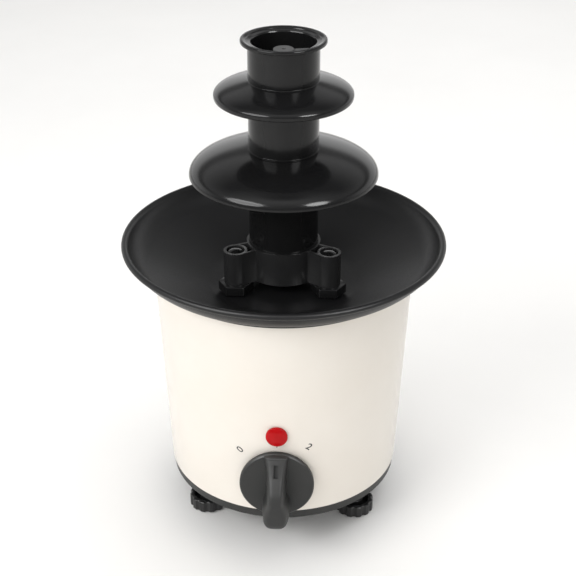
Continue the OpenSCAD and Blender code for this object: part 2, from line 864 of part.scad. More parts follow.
module coil_bobbin() {
  half = bobbin_len / 2;
  color([0.9, 0.9, 0.85]) {
    leg_wrap(-half, half, core_gap, bobbin_wall);
    leg_wrap(-half, -half + flange_t, core_gap, coil_build);
    leg_wrap(half - flange_t, half, core_gap, coil_build);
  }
}

module coil_winding() {
  half = bobbin_len / 2 - flange_t;
  color([0.7, 0.35, 0.15])
    leg_wrap(-half, half, core_gap + bobbin_wall, coil_build - bobbin_wall - 0.4);
}

module motor_bracket() {
  color([0.7, 0.7, 0.72]) at_rotor() difference() {
    union() {
      block(-stator_screw_x, stator_screw_x, -bracket_w / 2, bracket_w / 2,
        bracket_z, bracket_z + bracket_t);
      for (x = [-stator_screw_x, stator_screw_x])
        translate([x, 0, 0]) rod_z(bracket_z, stator_z, stator_boss_r);
      rod_z(bracket_z - 2, bracket_z + bracket_t + 1, rotor_bush_r + 2);
    }
    rod_z(bracket_z - 2 - cut, stator_z, rotor_bush_r);
    for (x = [-stator_screw_x, stator_screw_x])
      translate([x, 0, 0]) rod_z(bracket_z - cut, stator_z + cut, motor_screw_r + screw_gap);
  }
}

module motor_screws() {
  color([0.7, 0.7, 0.72]) at_rotor() for (x = [-stator_screw_x, stator_screw_x])
    translate([x, 0, 0]) screw_up(bracket_z, stator_top + 8, motor_screw_r, 3.2, 2);
}

module drive_shaft() {
  color([0.75, 0.75, 0.77]) {
    rod_z(case_z - bush_boss_h, shaft_shoulder_z - 0.2, shaft_r);
    translate([0, 0, shaft_shoulder_z - 1]) cylinder(h = tip_h + 1, r = tip_r, $fn = 6);
  }
}

// Heater under the bowl's floor

module heating_element() {
  start = 180 + element_gap_a / 2;
  sweep = 360 - element_gap_a;
  color([0.45, 0.42, 0.4]) {
    rotate([0, 0, start]) rotate_extrude(angle = sweep)
      translate([element_circle_r - element_w / 2, floor_under - element_h])
        square([element_w, element_h]);
    at_polar([start + 4, start - element_gap_a - 4], element_circle_r)
      rod_z(floor_under - element_h - element_pin_h, floor_under - element_h / 2, element_pin_r);
  }
}

module thermostat() {
  color([0.3, 0.25, 0.2]) translate([thermostat_x, thermostat_y, 0]) {
    rod_z(floor_under - thermostat_h, floor_under, thermostat_r);
    for (y = [-5, 5])
      block(-thermostat_r - 6, 0, y - 2, y + 2, floor_under - 6, floor_under - 5.2);
  }
}

module thermal_fuse() {
  color([0.9, 0.88, 0.82])
    translate([-fuse_len / 2, fuse_y, floor_under - fuse_r - 0.1])
      rotate([0, 90, 0]) cylinder(h = fuse_len, r = fuse_r);
}

// Controls

// Round bar with one flat, along Y, widened by gap
module d_bar(y0, y1, gap) {
  difference() {
    rod_y(0, knob_z, y0, y1, spindle_r + gap);
    block(-spindle_r - cut, spindle_r + cut, y0 - cut, y1 + cut,
      knob_z + spindle_flat + gap, knob_z + spindle_r + cut);
  }
}

module switch_body() {
  half = switch_size / 2;
  back = switch_front + switch_depth;
  color([0.15, 0.15, 0.16]) difference() {
    union() {
      block(-half, half, switch_front, back, knob_z - half, knob_z + half);
      block(-switch_screw_x - 4, switch_screw_x + 4, switch_front, switch_front + switch_ear_t,
        knob_z - 4, knob_z + 4);
      rod_y(0, knob_z, -housing_r(knob_z) + 0.5, switch_front + 1, switch_neck_r);
    }
    rod_y(0, knob_z, -housing_max_r - cut, back - 4, spindle_r + run_gap);
    for (x = [-switch_screw_x, switch_screw_x])
      rod_y(x, knob_z, switch_front - cut, switch_front + switch_ear_t + cut, switch_screw_r + screw_gap);
  }
  color([0.75, 0.65, 0.4]) for (x = [-8, 0, 8])
    block(x - 0.4, x + 0.4, back - 1, back + 7, knob_z - 2.4, knob_z + 2.4);
}

module switch_screws() {
  seat = switch_front + switch_ear_t;
  color([0.7, 0.7, 0.72]) for (x = [-switch_screw_x, switch_screw_x]) {
    rod_y(x, knob_z, switch_front - 3.5, seat + 0.5, switch_screw_r);
    rod_y(x, knob_z, seat, seat + 1.8, switch_screw_r * 1.9);
  }
}

module switch_spindle() {
  color([0.75, 0.75, 0.77]) {
    d_bar(knob_face - 8, knob_back + 0.5, 0);
    rod_y(0, knob_z, knob_back + 0.5, switch_front + switch_depth - 4.5, spindle_r);
  }
}

// Half width of the grip at a height u above the knob's axis
function grip_swell(s) = s * s * (3 - 2 * s);
function grip_half(u) =
  grip_waist + (grip_end - grip_waist) * grip_swell(min(1, max(0, (-u / knob_r - 0.125) / 0.44)));

module grip_plan() {
  steps = 10;
  us = [for (i = [0 : steps]) -knob_r + 2 * knob_r * i / steps];
  polygon(concat(
    [for (u = us) [grip_half(u), u]],
    [for (i = [steps : -1 : 0]) [-grip_half(us[i]), us[i]]]
  ));
}

// Side view of the grip: low at the pointer end, tall below the middle
module grip_side() {
  r = knob_r;
  polygon([
    [0, r], [grip_h * 0.16, r * 0.97], [grip_h * 0.5, r * 0.52], [grip_h * 0.82, r * 0.16],
    [grip_h * 0.96, -r * 0.1], [grip_h, -r * 0.4], [grip_h, -r * 0.74], [grip_h * 0.97, -r * 0.9],
    [grip_h * 0.82, -r * 0.98], [0, -r], [-1, -r], [-1, r]
  ]);
}

module knob() {
  color([0.2, 0.2, 0.2]) difference() {
    union() {
      rod_y(0, knob_z, knob_face + 0.8, knob_back, knob_r);
      translate([0, knob_face + 0.8, knob_z]) rotate([90, 0, 0])
        cylinder(h = 0.8, r1 = knob_r, r2 = knob_r - 0.8);
      intersection() {
        translate([0, knob_face, knob_z]) rotate([90, 0, 0])
          translate([0, 0, -1]) linear_extrude(height = grip_h + 2) grip_plan();
        translate([-knob_r, knob_face, knob_z]) rotate([90, 0, 90])
          linear_extrude(height = 2 * knob_r) mirror([1, 0]) grip_side();
        rod_y(0, knob_z, grip_top - cut, knob_back, knob_r - 0.2);
      }
    }
    d_bar(knob_face - 8.5, knob_back + cut, press_gap);
    translate([0, knob_face - grip_h * 0.37, knob_z + knob_r * 0.72]) rotate([-48, 0, 0])
      block(-pointer_w / 2, pointer_w / 2, -1.2, 4, -pointer_len / 2, pointer_len / 2);
  }
}

// Half outline of the lens' dome, from its edge to its crown
function dome_outline(rho, steps) =
  let (edge_a = asin(lens_r / rho))
    [for (i = [0 : steps]) let (a = edge_a * (1 - i / steps)) [rho * sin(a), rho * (cos(a) - cos(edge_a))]];

module lamp_lens() {
  dome_rho = (lens_r * lens_r + lens_dome_h * lens_dome_h) / (2 * lens_dome_h);
  color([0.7, 0.08, 0.08]) difference() {
    union() {
      translate([0, lens_back, lamp_z]) rotate([90, 0, 0]) rotate_extrude() polygon(concat(
        [[0, 0], [lens_r, 0]],
        [for (p = dome_outline(dome_rho, 6)) [p[0], p[1] + lens_flange_t]]
      ));
      rod_y(0, lamp_z, lens_back - 0.5, lens_back + lens_depth, lens_tube_r);
    }
    rod_y(0, lamp_z, lens_back, lens_back + lens_depth + cut, lens_tube_r - lens_tube_wall);
  }
}

module lamp_tube() {
  color([0.9, 0.85, 0.75])
    rod_y(0, lamp_z, lens_back, lens_back + lamp_tube_len, lamp_tube_r);
}

module lamp_clip() {
  inner = 1 - wall_in(lamp_z, lens_r);
  color([0.75, 0.75, 0.77]) difference() {
    rod_y(0, lamp_z, inner, inner + clip_t, lens_r);
    rod_y(0, lamp_z, inner - cut, inner + clip_t + cut, lens_tube_r + press_gap);
  }
}

module cord_gland() {
  color([0.1, 0.1, 0.1]) difference() {
    union() {
      rod_y(0, inlet_z, gland_in, gland_out, gland_r);
      rod_y(0, inlet_z, gland_out, gland_out + gland_flange_t, gland_flange_r);
    }
    rod_y(0, inlet_z, gland_in - cut, gland_out + gland_flange_t + cut, inlet_r);
  }
}

module gland_nut() {
  color([0.12, 0.12, 0.12]) difference() {
    translate([0, gland_nut_y + gland_nut_t, inlet_z]) rotate([90, 0, 0])
      cylinder(h = gland_nut_t, r = gland_nut_r, $fn = 6);
    rod_y(0, inlet_z, gland_nut_y - cut, gland_nut_y + gland_nut_t + cut, gland_r + press_gap);
  }
}

module terminal_block() {
  color([0.9, 0.9, 0.86]) translate([block_x, block_y, base_top]) difference() {
    block(-block_len / 2, block_len / 2, -block_w / 2, block_w / 2, 0, block_h);
    for (x = [-10, 0, 10]) {
      rod_y(x, block_h / 2, -block_w / 2 - cut, block_w / 2 + cut, 1.8);
      translate([x, 0, 0]) rod_z(block_h / 2, block_h + cut, 2.2);
    }
  }
}

// Wires, each a round cord through its own points

wire_r = 1.2;
wire_sides = 8;

// Point on a smooth curve through p1 and p2, with p0 and p3 as its neighbours
function curve_point(p0, p1, p2, p3, t) =
  0.5 * (2 * p1 + (p2 - p0) * t + (2 * p0 - 5 * p1 + 4 * p2 - p3) * t * t
  + (3 * p1 - p0 - 3 * p2 + p3) * t * t * t);

function smooth_path(pts, steps) =
  let (n = len(pts)) concat(
    [for (i = [0 : n - 2], s = [0 : steps - 1])
      curve_point(pts[max(0, i - 1)], pts[i], pts[i + 1], pts[min(n - 1, i + 2)], s / steps)],
    [pts[n - 1]]
  );

function unit(v) = v / norm(v);

// A side direction square to the path, kept steady by a slanted reference
function side_of(d) = unit(cross(d, unit([0.31, 0.83, 0.46])));

module wire(pts) {
  path = smooth_path(pts, 5);
  n = len(path);
  dirs = [for (i = [0 : n - 1]) unit(path[min(n - 1, i + 1)] - path[max(0, i - 1)])];
  rings = [for (i = [0 : n - 1], k = [0 : wire_sides - 1])
    let (u = side_of(dirs[i]), v = cross(dirs[i], u), a = k * 360 / wire_sides)
      path[i] + wire_r * (cos(a) * u + sin(a) * v)];
  sides = [for (i = [0 : n - 2], k = [0 : wire_sides - 1], h = [0, 1])
    let (
      a = i * wire_sides + k,
      b = i * wire_sides + (k + 1) % wire_sides
    ) h == 0 ? [b + wire_sides, b, a] : [a + wire_sides, b + wire_sides, a]];
  start_cap = [[for (k = [0 : wire_sides - 1]) k]];
  end_cap = [[for (k = [wire_sides - 1 : -1 : 0]) (n - 1) * wire_sides + k]];
  polyhedron(points = rings, faces = concat(sides, start_cap, end_cap));
}

// Ends of the wires, each just short of what it joins
wire_gap = 0.3;
block_front = block_y - block_w / 2;
block_mid_z = base_top + block_h / 2;
switch_end = switch_front + switch_depth + 7 + wire_gap;
pin_end_z = floor_under - element_h - element_pin_h - wire_gap;
pin_a = element_gap_a / 2 + 4;
pin_x = -element_circle_r * cos(pin_a);
pin_y = element_circle_r * sin(pin_a);
coil_end_x = rotor_x - bobbin_len / 2 - wire_gap;
lamp_end = lens_back + lamp_tube_len + wire_gap;

// First stretch of a wire, straight away from what it joins
function lead(start, step) = [start, start + step, start + 2 * step];

// Last stretch of a wire, straight into a pole of the terminal block
function into_block(x) = [
  [x, block_front - 9, block_mid_z + 5],
  [x, block_front - 4, block_mid_z],
  [x, block_front + 3, block_mid_z]
];

// Last stretch of a wire, straight onto a blade of the switch
function onto_switch(x) = [[x, switch_end + 5, knob_z], [x, switch_end, knob_z]];

module heater_wires() {
  color([0.75, 0.1, 0.1]) {
    wire(concat(
      [[pin_x, -pin_y, pin_end_z], [pin_x, -pin_y, pin_end_z - 10],
        [pin_x - 3, -pin_y - 8, knob_z + 40], [-30, -34, knob_z + 20]],
      onto_switch(-8)
    ));
    wire(concat(
      [[pin_x, pin_y, pin_end_z], [pin_x, pin_y, pin_end_z - 10],
        [pin_x - 5, pin_y + 2, knob_z + 30], [pin_x, pin_y - 10, base_top + 24]],
      into_block(block_x - 10)
    ));
  }
}

module motor_wires() {
  step = [-2.5, 0, 0];
  z = stator_z - 3;
  bend = [coil_end_x - 9, 0, z - 4];
  color([0.15, 0.25, 0.6]) {
    wire(concat(
      lead([coil_end_x, leg_y - 2, z], step),
      [bend + [0, leg_y - 5, 0], [4, leg_y - 16, knob_z + 12]],
      onto_switch(8)
    ));
    wire(concat(
      lead([coil_end_x, leg_y + 7, z], step),
      [bend + [0, leg_y + 6, 0], [-14, leg_y + 2, base_top + 26]],
      into_block(block_x)
    ));
  }
}

module lamp_wires() {
  step = [0, 2.5, 0];
  color([0.2, 0.2, 0.2]) {
    wire(concat(
      lead([1.6, lamp_end, lamp_z], step),
      [[1.6, lamp_end + 9, lamp_z - 4], [1, switch_end + 10, knob_z + 10]],
      onto_switch(0)
    ));
    wire(concat(
      lead([-1.6, lamp_end, lamp_z], step),
      [[-3, lamp_end + 9, lamp_z - 4], [-12, switch_end + 20, knob_z + 8], [-20, -10, base_top + 20]],
      into_block(block_x + 10)
    ));
  }
}

// Tower

// Two plates from the ring to an ear's boss, a little wider apart at the ring
module ear_webs() {
  root_w = 6.5;
  tip_w = 7.4;
  web_t = 1.5;
  reach = post_circle_r;
  start = bore_r + 1;
  linear_extrude(height = collar_h) difference() {
    polygon([[start, -root_w], [reach, -tip_w], [reach, tip_w], [start, root_w]]);
    polygon([
      [start - 1, web_t - root_w], [reach, web_t - tip_w],
      [reach, tip_w - web_t], [start - 1, root_w - web_t]
    ]);
  }
}

module tower_collar() {
  ring_in = tube_r + 0.15;
  color([0.08, 0.08, 0.09]) difference() {
    union() {
      rod_z(collar_z, collar_z + collar_h, collar_r);
      for (a = post_angles) rotate([0, 0, a]) {
        translate([0, 0, collar_z]) ear_webs();
        translate([post_circle_r, 0, 0]) rod_z(collar_z, collar_z + collar_h, ear_r);
      }
    }
    rod_z(collar_z - cut, collar_z + collar_h + cut, bore_r + 0.3);
    rod_z(tube_z, collar_z + collar_h + cut, ring_in);
    at_polar(post_angles, post_circle_r) rod_z(collar_z - cut, collar_z + collar_h + cut, ear_bore_r);
  }
}

// Height share of a canopy's outside at x, 0 at the neck and 1 at the edge
function dome_z(x, dome) = pow(max(0, 1 - pow(x, dome[0])), 1 / dome[1]);

// One tier: tube with a socket below, canopy with a hollow underside, neck and spigot
module tier(z0, edge_z, edge_r, rise, dome, socket) {
  joint_z = edge_z + rise + neck_h;
  in_r = edge_r - canopy_t;
  xs = [for (i = [0 : canopy_steps]) sin(90 * i / canopy_steps)];
  outside = [for (x = xs) [tube_r + (edge_r - tube_r) * x, edge_z + rise * dome_z(x, dome)]];
  inside = [for (i = [canopy_steps : -1 : 0])
    [tube_r + (in_r - tube_r) * xs[i], edge_z + (rise - canopy_t - 0.4) * dome_z(xs[i], dome)]];
  rotate_extrude() polygon(concat(
    [[bore_r, z0 + socket], [bore_r, joint_z + spigot_h], [spigot_out_r, joint_z + spigot_h],
      [spigot_out_r, joint_z], [tube_r, joint_z]],
    outside,
    [[edge_r - 0.6, edge_z - canopy_lip], [in_r, edge_z - canopy_lip]],
    inside,
    [[tube_r, z0 + 0.6], [tube_r - 0.6, z0]],
    socket > 0 ? [[socket_r, z0], [socket_r, z0 + socket]] : [[bore_r, z0]]
  ));
}

module lower_tier() {
  color([0.07, 0.07, 0.08]) tier(tube_z, lower_edge_z, lower_canopy_r, lower_rise, lower_dome, 0);
}

module upper_tier() {
  color([0.07, 0.07, 0.08])
    tier(lower_joint_z, upper_edge_z, upper_canopy_r, upper_rise, upper_dome, socket_h);
}

module crown() {
  flare_z = crown_top - 6.4;
  flare_w = crown_r - tube_r - 0.2;
  flare_h = 4.2;
  flare_a = 75;
  flare = [for (a = [0 : 15 : flare_a])
    [tube_r + flare_w * (1 - cos(a)) / (1 - cos(flare_a)), flare_z + flare_h * sin(a) / sin(flare_a)]];
  color([0.07, 0.07, 0.08]) rotate_extrude() polygon(concat(
    [[socket_r, upper_joint_z], [tube_r - 0.6, upper_joint_z], [tube_r, upper_joint_z + 0.6]],
    flare,
    [
      [crown_r, crown_top - 1.8], [crown_r, crown_top - 0.9], [crown_r - 0.7, crown_top - 0.2],
      [crown_r - 1.6, crown_top], [tube_r + 1, crown_top - 0.5], [tube_r + 0.6, crown_top - 1.1],
      [bore_r + 0.5, crown_top - 1.6], [bore_r, crown_top - 2.2], [bore_r, upper_joint_z + socket_h],
      [socket_r, upper_joint_z + socket_h]
    ]
  ));
}

// Auger

// Four corners of the flight's section at one step of its helix
function flight_section(z, a) = [
  [flight_root * cos(a), flight_root * sin(a), z - flight_t],
  [flight_r * cos(a), flight_r * sin(a), z - flight_t],
  [flight_r * cos(a), flight_r * sin(a), z],
  [flight_root * cos(a), flight_root * sin(a), z]
];

module flight() {
  n = floor((flight_z1 - flight_t - flight_z0) / flight_pitch * flight_steps);
  points = [for (i = [0 : n], p = flight_section(
    flight_z1 - i * flight_pitch / flight_steps, flight_end_a - i * 360 / flight_steps)) p];
  sides = [for (i = [0 : n - 1], k = [0 : 3], h = [0, 1])
    let (a = i * 4 + k, b = i * 4 + (k + 1) % 4)
      h == 0 ? [b + 4, b, a] : [a + 4, b + 4, a]];
  ends = [[0, 1, 2, 3], [n * 4 + 3, n * 4 + 2, n * 4 + 1, n * 4]];
  polyhedron(points = points, faces = concat(sides, ends));
}

module auger() {
  color([0.35, 0.35, 0.35]) difference() {
    union() {
      rod_z(auger_z, auger_top, core_r);
      flight();
    }
    translate([0, 0, auger_z - cut]) cylinder(h = tip_h + cut, r = tip_r + tip_gap, $fn = 6);
    rod_z(auger_top - 2, auger_top + cut, 1.2);
  }
}

base_plate();
base_screws();
foot_nuts();
foot_pad_left();
foot_pad_right();
foot_pad_back();
foot_wheel_left();
foot_wheel_right();
foot_wheel_back();
foot_stud_left();
foot_stud_right();
foot_stud_back();
housing();
bowl();
bowl_screws();
tower_posts();
post_gaskets();
post_screws();
post_sleeves();
shaft_seal();
shaft_bush_upper();
shaft_bush_lower();
gearbox_case();
gearbox_cover();
gearbox_screws();
drive_shaft();
output_gear();
idler_gear();
idler_pin();
rotor_shaft();
rotor_core();
rotor_bush_upper();
rotor_bush_lower();
stator_core();
coil_bobbin();
coil_winding();
motor_bracket();
motor_screws();
heating_element();
thermostat();
thermal_fuse();
switch_body();
switch_screws();
switch_spindle();
knob();
lamp_lens();
lamp_tube();
lamp_clip();
cord_gland();
gland_nut();
terminal_block();
heater_wires();
motor_wires();
lamp_wires();
tower_collar();
lower_tier();
upper_tier();
crown();
auger();
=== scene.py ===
"""Looks of a tabletop chocolate fountain, built over its solid parts.

Sizes in the classes are millimetres in the frame of the solids: +Z up the tower, -Y toward the
knob, the origin on the table under the tower's axis. Meshes are made in metres.
"""

import logging
import math
from collections.abc import Callable, Mapping, Sequence
from dataclasses import dataclass, field
from enum import Enum
from functools import cached_property

import bpy
from mathutils import Matrix, Vector

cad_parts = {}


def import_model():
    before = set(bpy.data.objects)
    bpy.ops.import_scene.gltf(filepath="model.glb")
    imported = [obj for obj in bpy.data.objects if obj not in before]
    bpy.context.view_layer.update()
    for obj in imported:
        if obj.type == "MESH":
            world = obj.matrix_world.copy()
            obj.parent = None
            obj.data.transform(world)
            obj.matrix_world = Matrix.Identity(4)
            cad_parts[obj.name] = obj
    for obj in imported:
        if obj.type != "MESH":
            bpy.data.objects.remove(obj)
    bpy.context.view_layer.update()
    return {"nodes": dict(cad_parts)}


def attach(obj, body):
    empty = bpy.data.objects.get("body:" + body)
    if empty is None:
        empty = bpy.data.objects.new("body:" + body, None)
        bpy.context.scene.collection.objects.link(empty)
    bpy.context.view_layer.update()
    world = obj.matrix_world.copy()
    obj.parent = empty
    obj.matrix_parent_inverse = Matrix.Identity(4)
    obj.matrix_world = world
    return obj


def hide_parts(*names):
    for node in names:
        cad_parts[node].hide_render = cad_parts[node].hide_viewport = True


LOG = logging.getLogger("fountain")

MM = 0.001
MERGE = 1e-6
SHARP = math.radians(32)

Point = tuple[float, float]
Place = tuple[float, float, float]
Object = bpy.types.Object

ORIGIN: Place = (0.0, 0.0, 0.0)


class Axis(Enum):
    """Ways a turned piece faces: the direction across its axis, then the one along it."""

    UP = ((1.0, 0.0, 0.0), (0.0, 0.0, 1.0))
    FRONT = ((1.0, 0.0, 0.0), (0.0, -1.0, 0.0))
    BACK = ((1.0, 0.0, 0.0), (0.0, 1.0, 0.0))


class Third(Enum):
    """Directions of the three feet and of the three posts, in degrees seen from above."""

    LEFT = -150.0
    RIGHT = -30.0
    BACK = 90.0

    @property
    def label(self) -> str:
        """Name of the direction as the solids use it."""
        return self.name.lower()


class Grain(Enum):
    """How a surface was made, which sets the pattern on it."""

    MOULDED = "moulded"
    SPRAYED = "sprayed"
    BRUSHED = "brushed"
    LAYERED = "layered"


@dataclass(frozen=True)
class Corner:
    """A corner of an outline: distance from the axis, height and rounding, in mm."""

    r: float
    h: float
    soft: float = 0.0


# Outlines


def rounded(corners: Sequence[Corner], steps: int = 6) -> list[Point]:
    """Rounds the corners of a closed outline.

    Args:
        corners: Corners in order.
        steps: Parts of each rounded corner.

    Returns:
        Points of the rounded outline.
    """
    most_of_side = 0.48
    points: list[Point] = []
    for i, corner in enumerate(corners):
        here = Vector((corner.r, corner.h))
        if corner.soft == 0:
            points.append((corner.r, corner.h))
            continue
        last, following = corners[i - 1], corners[(i + 1) % len(corners)]
        back = Vector((last.r, last.h)) - here
        ahead = Vector((following.r, following.h)) - here
        reach = corner.soft / math.tan(back.angle(ahead) / 2)
        reach = min(reach, back.length * most_of_side, ahead.length * most_of_side)
        start = here + back.normalized() * reach
        end = here + ahead.normalized() * reach
        for k in range(steps + 1):
            t = k / steps
            point = start * (1 - t) ** 2 + here * (2 * t * (1 - t)) + end * t**2
            points.append((point.x, point.y))
    return points


def arc(centre: Point, radius: float, start: float, end: float, steps: int) -> list[Point]:
    """Draws part of a circle.

    Args:
        centre: Centre of the circle.
        radius: Radius of the circle.
        start: First direction in degrees.
        end: Last direction in degrees.
        steps: Parts of the arc.

    Returns:
        Points along the arc.
    """
    angles = [math.radians(start + (end - start) * k / steps) for k in range(steps + 1)]
    return [(centre[0] + radius * math.cos(a), centre[1] + radius * math.sin(a)) for a in angles]


def plain(points: Sequence[Point]) -> list[Corner]:
    """Makes the points of a curve corners without rounding."""
    return [Corner(r, h) for r, h in points]


def swung(points: Sequence[Point], angle: float) -> list[Point]:
    """Turns flat points about the tower's axis, by degrees seen from above."""
    cosine, sine = math.cos(math.radians(angle)), math.sin(math.radians(angle))
    return [(x * cosine - y * sine, x * sine + y * cosine) for x, y in points]


def bar(radius: float, low: float, high: float) -> list[Point]:
    """Outline of a plain round bar, for drilling a hole."""
    return [(0.0, low), (radius, low), (radius, high), (0.0, high)]


def on_circle(third: Third, radius: float) -> Place:
    """Point of a circle about the tower's axis, in mm."""
    angle = math.radians(third.value)
    return (radius * math.cos(angle), radius * math.sin(angle), 0.0)


# Modelling


def deselect() -> None:
    """Leaves nothing selected, in object mode."""
    if bpy.context.object and bpy.context.object.mode != "OBJECT":
        bpy.ops.object.mode_set(mode="OBJECT")
    bpy.ops.object.select_all(action="DESELECT")


def hold(piece: Object) -> None:
    """Selects one piece alone and makes it active.

    Args:
        piece: The piece.
    """
    deselect()
    piece.select_set(True)
    bpy.context.view_layer.objects.active = piece


def named(name: str) -> Object:
    """Gives the active piece and its mesh a name.

    Args:
        name: Name of the piece.

    Returns:
        The piece.
    """
    piece = bpy.context.object
    piece.name = name
    piece.data.name = name
    return piece


def settled(name: str) -> Object:
    """Puts the place, turn and size of the active piece into its mesh and names it."""
    bpy.ops.object.transform_apply(location=True, rotation=True, scale=True)
    return named(name)


def smooth(piece: Object) -> None:
    """Shades a piece smooth apart from its sharp edges."""
    hold(piece)
    bpy.ops.object.shade_smooth_by_angle(angle=SHARP)


def draw(path: Sequence[Vector]) -> None:
    """Draws a line of edges from point to point, and stays in edit mode.

    Args:
        path: The points in metres.
    """
    deselect()
    bpy.ops.mesh.primitive_plane_add(size=MM, location=ORIGIN)
    bpy.ops.object.mode_set(mode="EDIT")
    bpy.ops.mesh.select_all(action="SELECT")
    bpy.ops.mesh.merge(type="CENTER")
    bpy.ops.transform.translate(value=path[0])
    for here, there in zip(path, path[1:]):
        bpy.ops.mesh.extrude_region_move(TRANSFORM_OT_translate={"value": there - here})


def draw_loop(path: Sequence[Vector]) -> None:
    """Draws a closed line of edges and selects all of it."""
    draw([*path, path[0]])
    bpy.ops.mesh.select_all(action="SELECT")


def merge_doubles() -> None:
    """Makes points that meet one, in edit mode."""
    bpy.ops.mesh.select_all(action="SELECT")
    bpy.ops.mesh.remove_doubles(threshold=MERGE)


def close_mesh(name: str, angle: float = SHARP) -> Object:
    """Merges doubles, turns the faces outward, leaves edit mode and shades the piece.

    Args:
        name: Name of the piece.
        angle: Edges sharper than this stay sharp.

    Returns:
        The piece.
    """
    merge_doubles()
    bpy.ops.mesh.dissolve_degenerate(threshold=MERGE)
    bpy.ops.mesh.select_all(action="SELECT")
    bpy.ops.mesh.normals_make_consistent(inside=False)
    bpy.ops.object.mode_set(mode="OBJECT")
    bpy.ops.object.shade_smooth_by_angle(angle=angle)
    return named(name)


def turn(
    name: str,
    outline: Sequence[Point],
    at: Place = ORIGIN,
    axis: Axis = Axis.UP,
    steps: int = 144,
) -> Object:
    """Turns a closed outline into a round piece.

    Args:
        name: Name of the piece.
        outline: Distances from the axis and heights along it, in mm.
        at: Point on the axis that heights are measured from, in mm.
        axis: Direction of the axis.
        steps: Parts of the full turn.

    Returns:
        The piece.
    """
    across, along = (Vector(direction) for direction in axis.value)
    foot = Vector(at)
    draw_loop([(foot + across * r + along * h) * MM for r, h in outline])
    bpy.ops.mesh.spin(steps=steps, angle=math.tau, center=foot * MM, axis=along)
    return close_mesh(name)


def slab(name: str, outline: Sequence[Point], low: float, high: float) -> Object:
    """Raises a flat outline into a plate.

    Args:
        name: Name of the piece.
        outline: Corners seen from above, in mm.
        low: Height of the underside.
        high: Height of the top.

    Returns:
        The piece.
    """
    draw_loop([Vector((x, y, low)) * MM for x, y in outline])
    merge_doubles()
    bpy.ops.mesh.edge_face_add()
    bpy.ops.mesh.extrude_region_move(TRANSFORM_OT_translate={"value": (0, 0, (high - low) * MM)})
    return close_mesh(name)


def use_modifier(piece: Object, kind: str, settings: Mapping[str, object]) -> None:
    """Adds a modifier to a piece and applies it.

    Args:
        piece: The piece.
        kind: Blender's name for the modifier.
        settings: Its settings.
    """
    hold(piece)
    modifier = piece.modifiers.new(kind.lower(), kind)
    for key, value in settings.items():
        setattr(modifier, key, value)
    bpy.ops.object.modifier_apply(modifier=modifier.name)


def screwed(
    name: str,
    section: Sequence[Point],
    pitch: float,
    turns: float,
    rounds: int,
    steps: int,
    closed: bool,
) -> Object:
    """Screws a section up the tower's axis.

    Args:
        name: Name of the piece.
        section: Distances from the axis and heights, in mm.
        pitch: Climb of one turn, in mm.
        turns: Turns of one round.
        rounds: Rounds, one on top of another.
        steps: Parts of one round.
        closed: Whether the section is a closed line, which fills the piece's two ends.

    Returns:
        The piece.
    """
    path = [Vector((r, 0.0, h)) * MM for r, h in section]
    if closed:
        draw_loop(path)
        merge_doubles()
    else:
        draw(path)
    bpy.ops.object.mode_set(mode="OBJECT")
    use_modifier(named(name), "SCREW", {
        "axis": "Z",
        "angle": math.tau * turns,
        "screw_offset": pitch * turns * MM,
        "iterations": rounds,
        "steps": steps,
        "render_steps": steps,
    })
    bpy.ops.object.mode_set(mode="EDIT")
    if closed:
        bpy.ops.mesh.select_all(action="SELECT")
        bpy.ops.mesh.fill_holes(sides=len(section))
    return close_mesh(name)


def carve(piece: Object, cutter: Object) -> None:
    """Cuts one piece with another, which is used up."""
    use_modifier(piece, "BOOLEAN", {"operation": "DIFFERENCE", "object": cutter, "solver": "EXACT"})
    discard(cutter)


def soften(piece: Object, width: float) -> None:
    """Rounds the sharp edges of a piece.

    Args:
        piece: The piece.
        width: Width of the rounding in mm.
    """
    use_modifier(piece, "BEVEL", {
        "width": width * MM,
        "segments": 3,
        "limit_method": "ANGLE",
        "angle_limit": math.radians(40),
        "use_clamp_overlap": True,
    })
    smooth(piece)


def reshape(piece: Object, move: Callable[[Vector], Vector]) -> None:
    """Moves every point of a piece.

    Args:
        piece: The piece.
        move: Gives a point's new place from its old one, in mm.
    """
    for vertex in piece.data.vertices:
        vertex.co = move(vertex.co / MM) * MM
    piece.data.update()


def joined(name: str, pieces: Sequence[Object]) -> Object:
    """Makes several pieces one.

    Args:
        name: Name of the whole.
        pieces: The pieces, the first of which takes in the rest.

    Returns:
        The whole.
    """
    hold(pieces[0])
    for piece in pieces[1:]:
        piece.select_set(True)
    bpy.ops.object.join()
    return named(name)


def copied(piece: Object, name: str, shift: Place) -> Object:
    """Copies a piece to another place.

    Args:
        piece: The piece.
        name: Name of the copy.
        shift: Way it goes in mm.

    Returns:
        The copy, with a mesh of its own.
    """
    hold(piece)
    bpy.ops.object.duplicate(linked=False)
    copy = named(name)
    copy.data.transform(Matrix.Translation(Vector(shift) * MM))
    return copy


def discard(piece: Object) -> None:
    """Removes a piece that was only a pattern or a cutter."""
    bpy.data.objects.remove(piece)


# Finishes


def linear(code: str) -> tuple[float, float, float, float]:
    """Turns an sRGB hex colour into linear light.

    Args:
        code: Colour such as "#E9E5DA".

    Returns:
        Red, green, blue and full opacity.
    """
    shares = [int(code[i:i + 2], 16) / 255 for i in (1, 3, 5)]
    light = [s / 12.92 if s <= 0.04045 else ((s + 0.055) / 1.055) ** 2.4 for s in shares]
    return (light[0], light[1], light[2], 1.0)


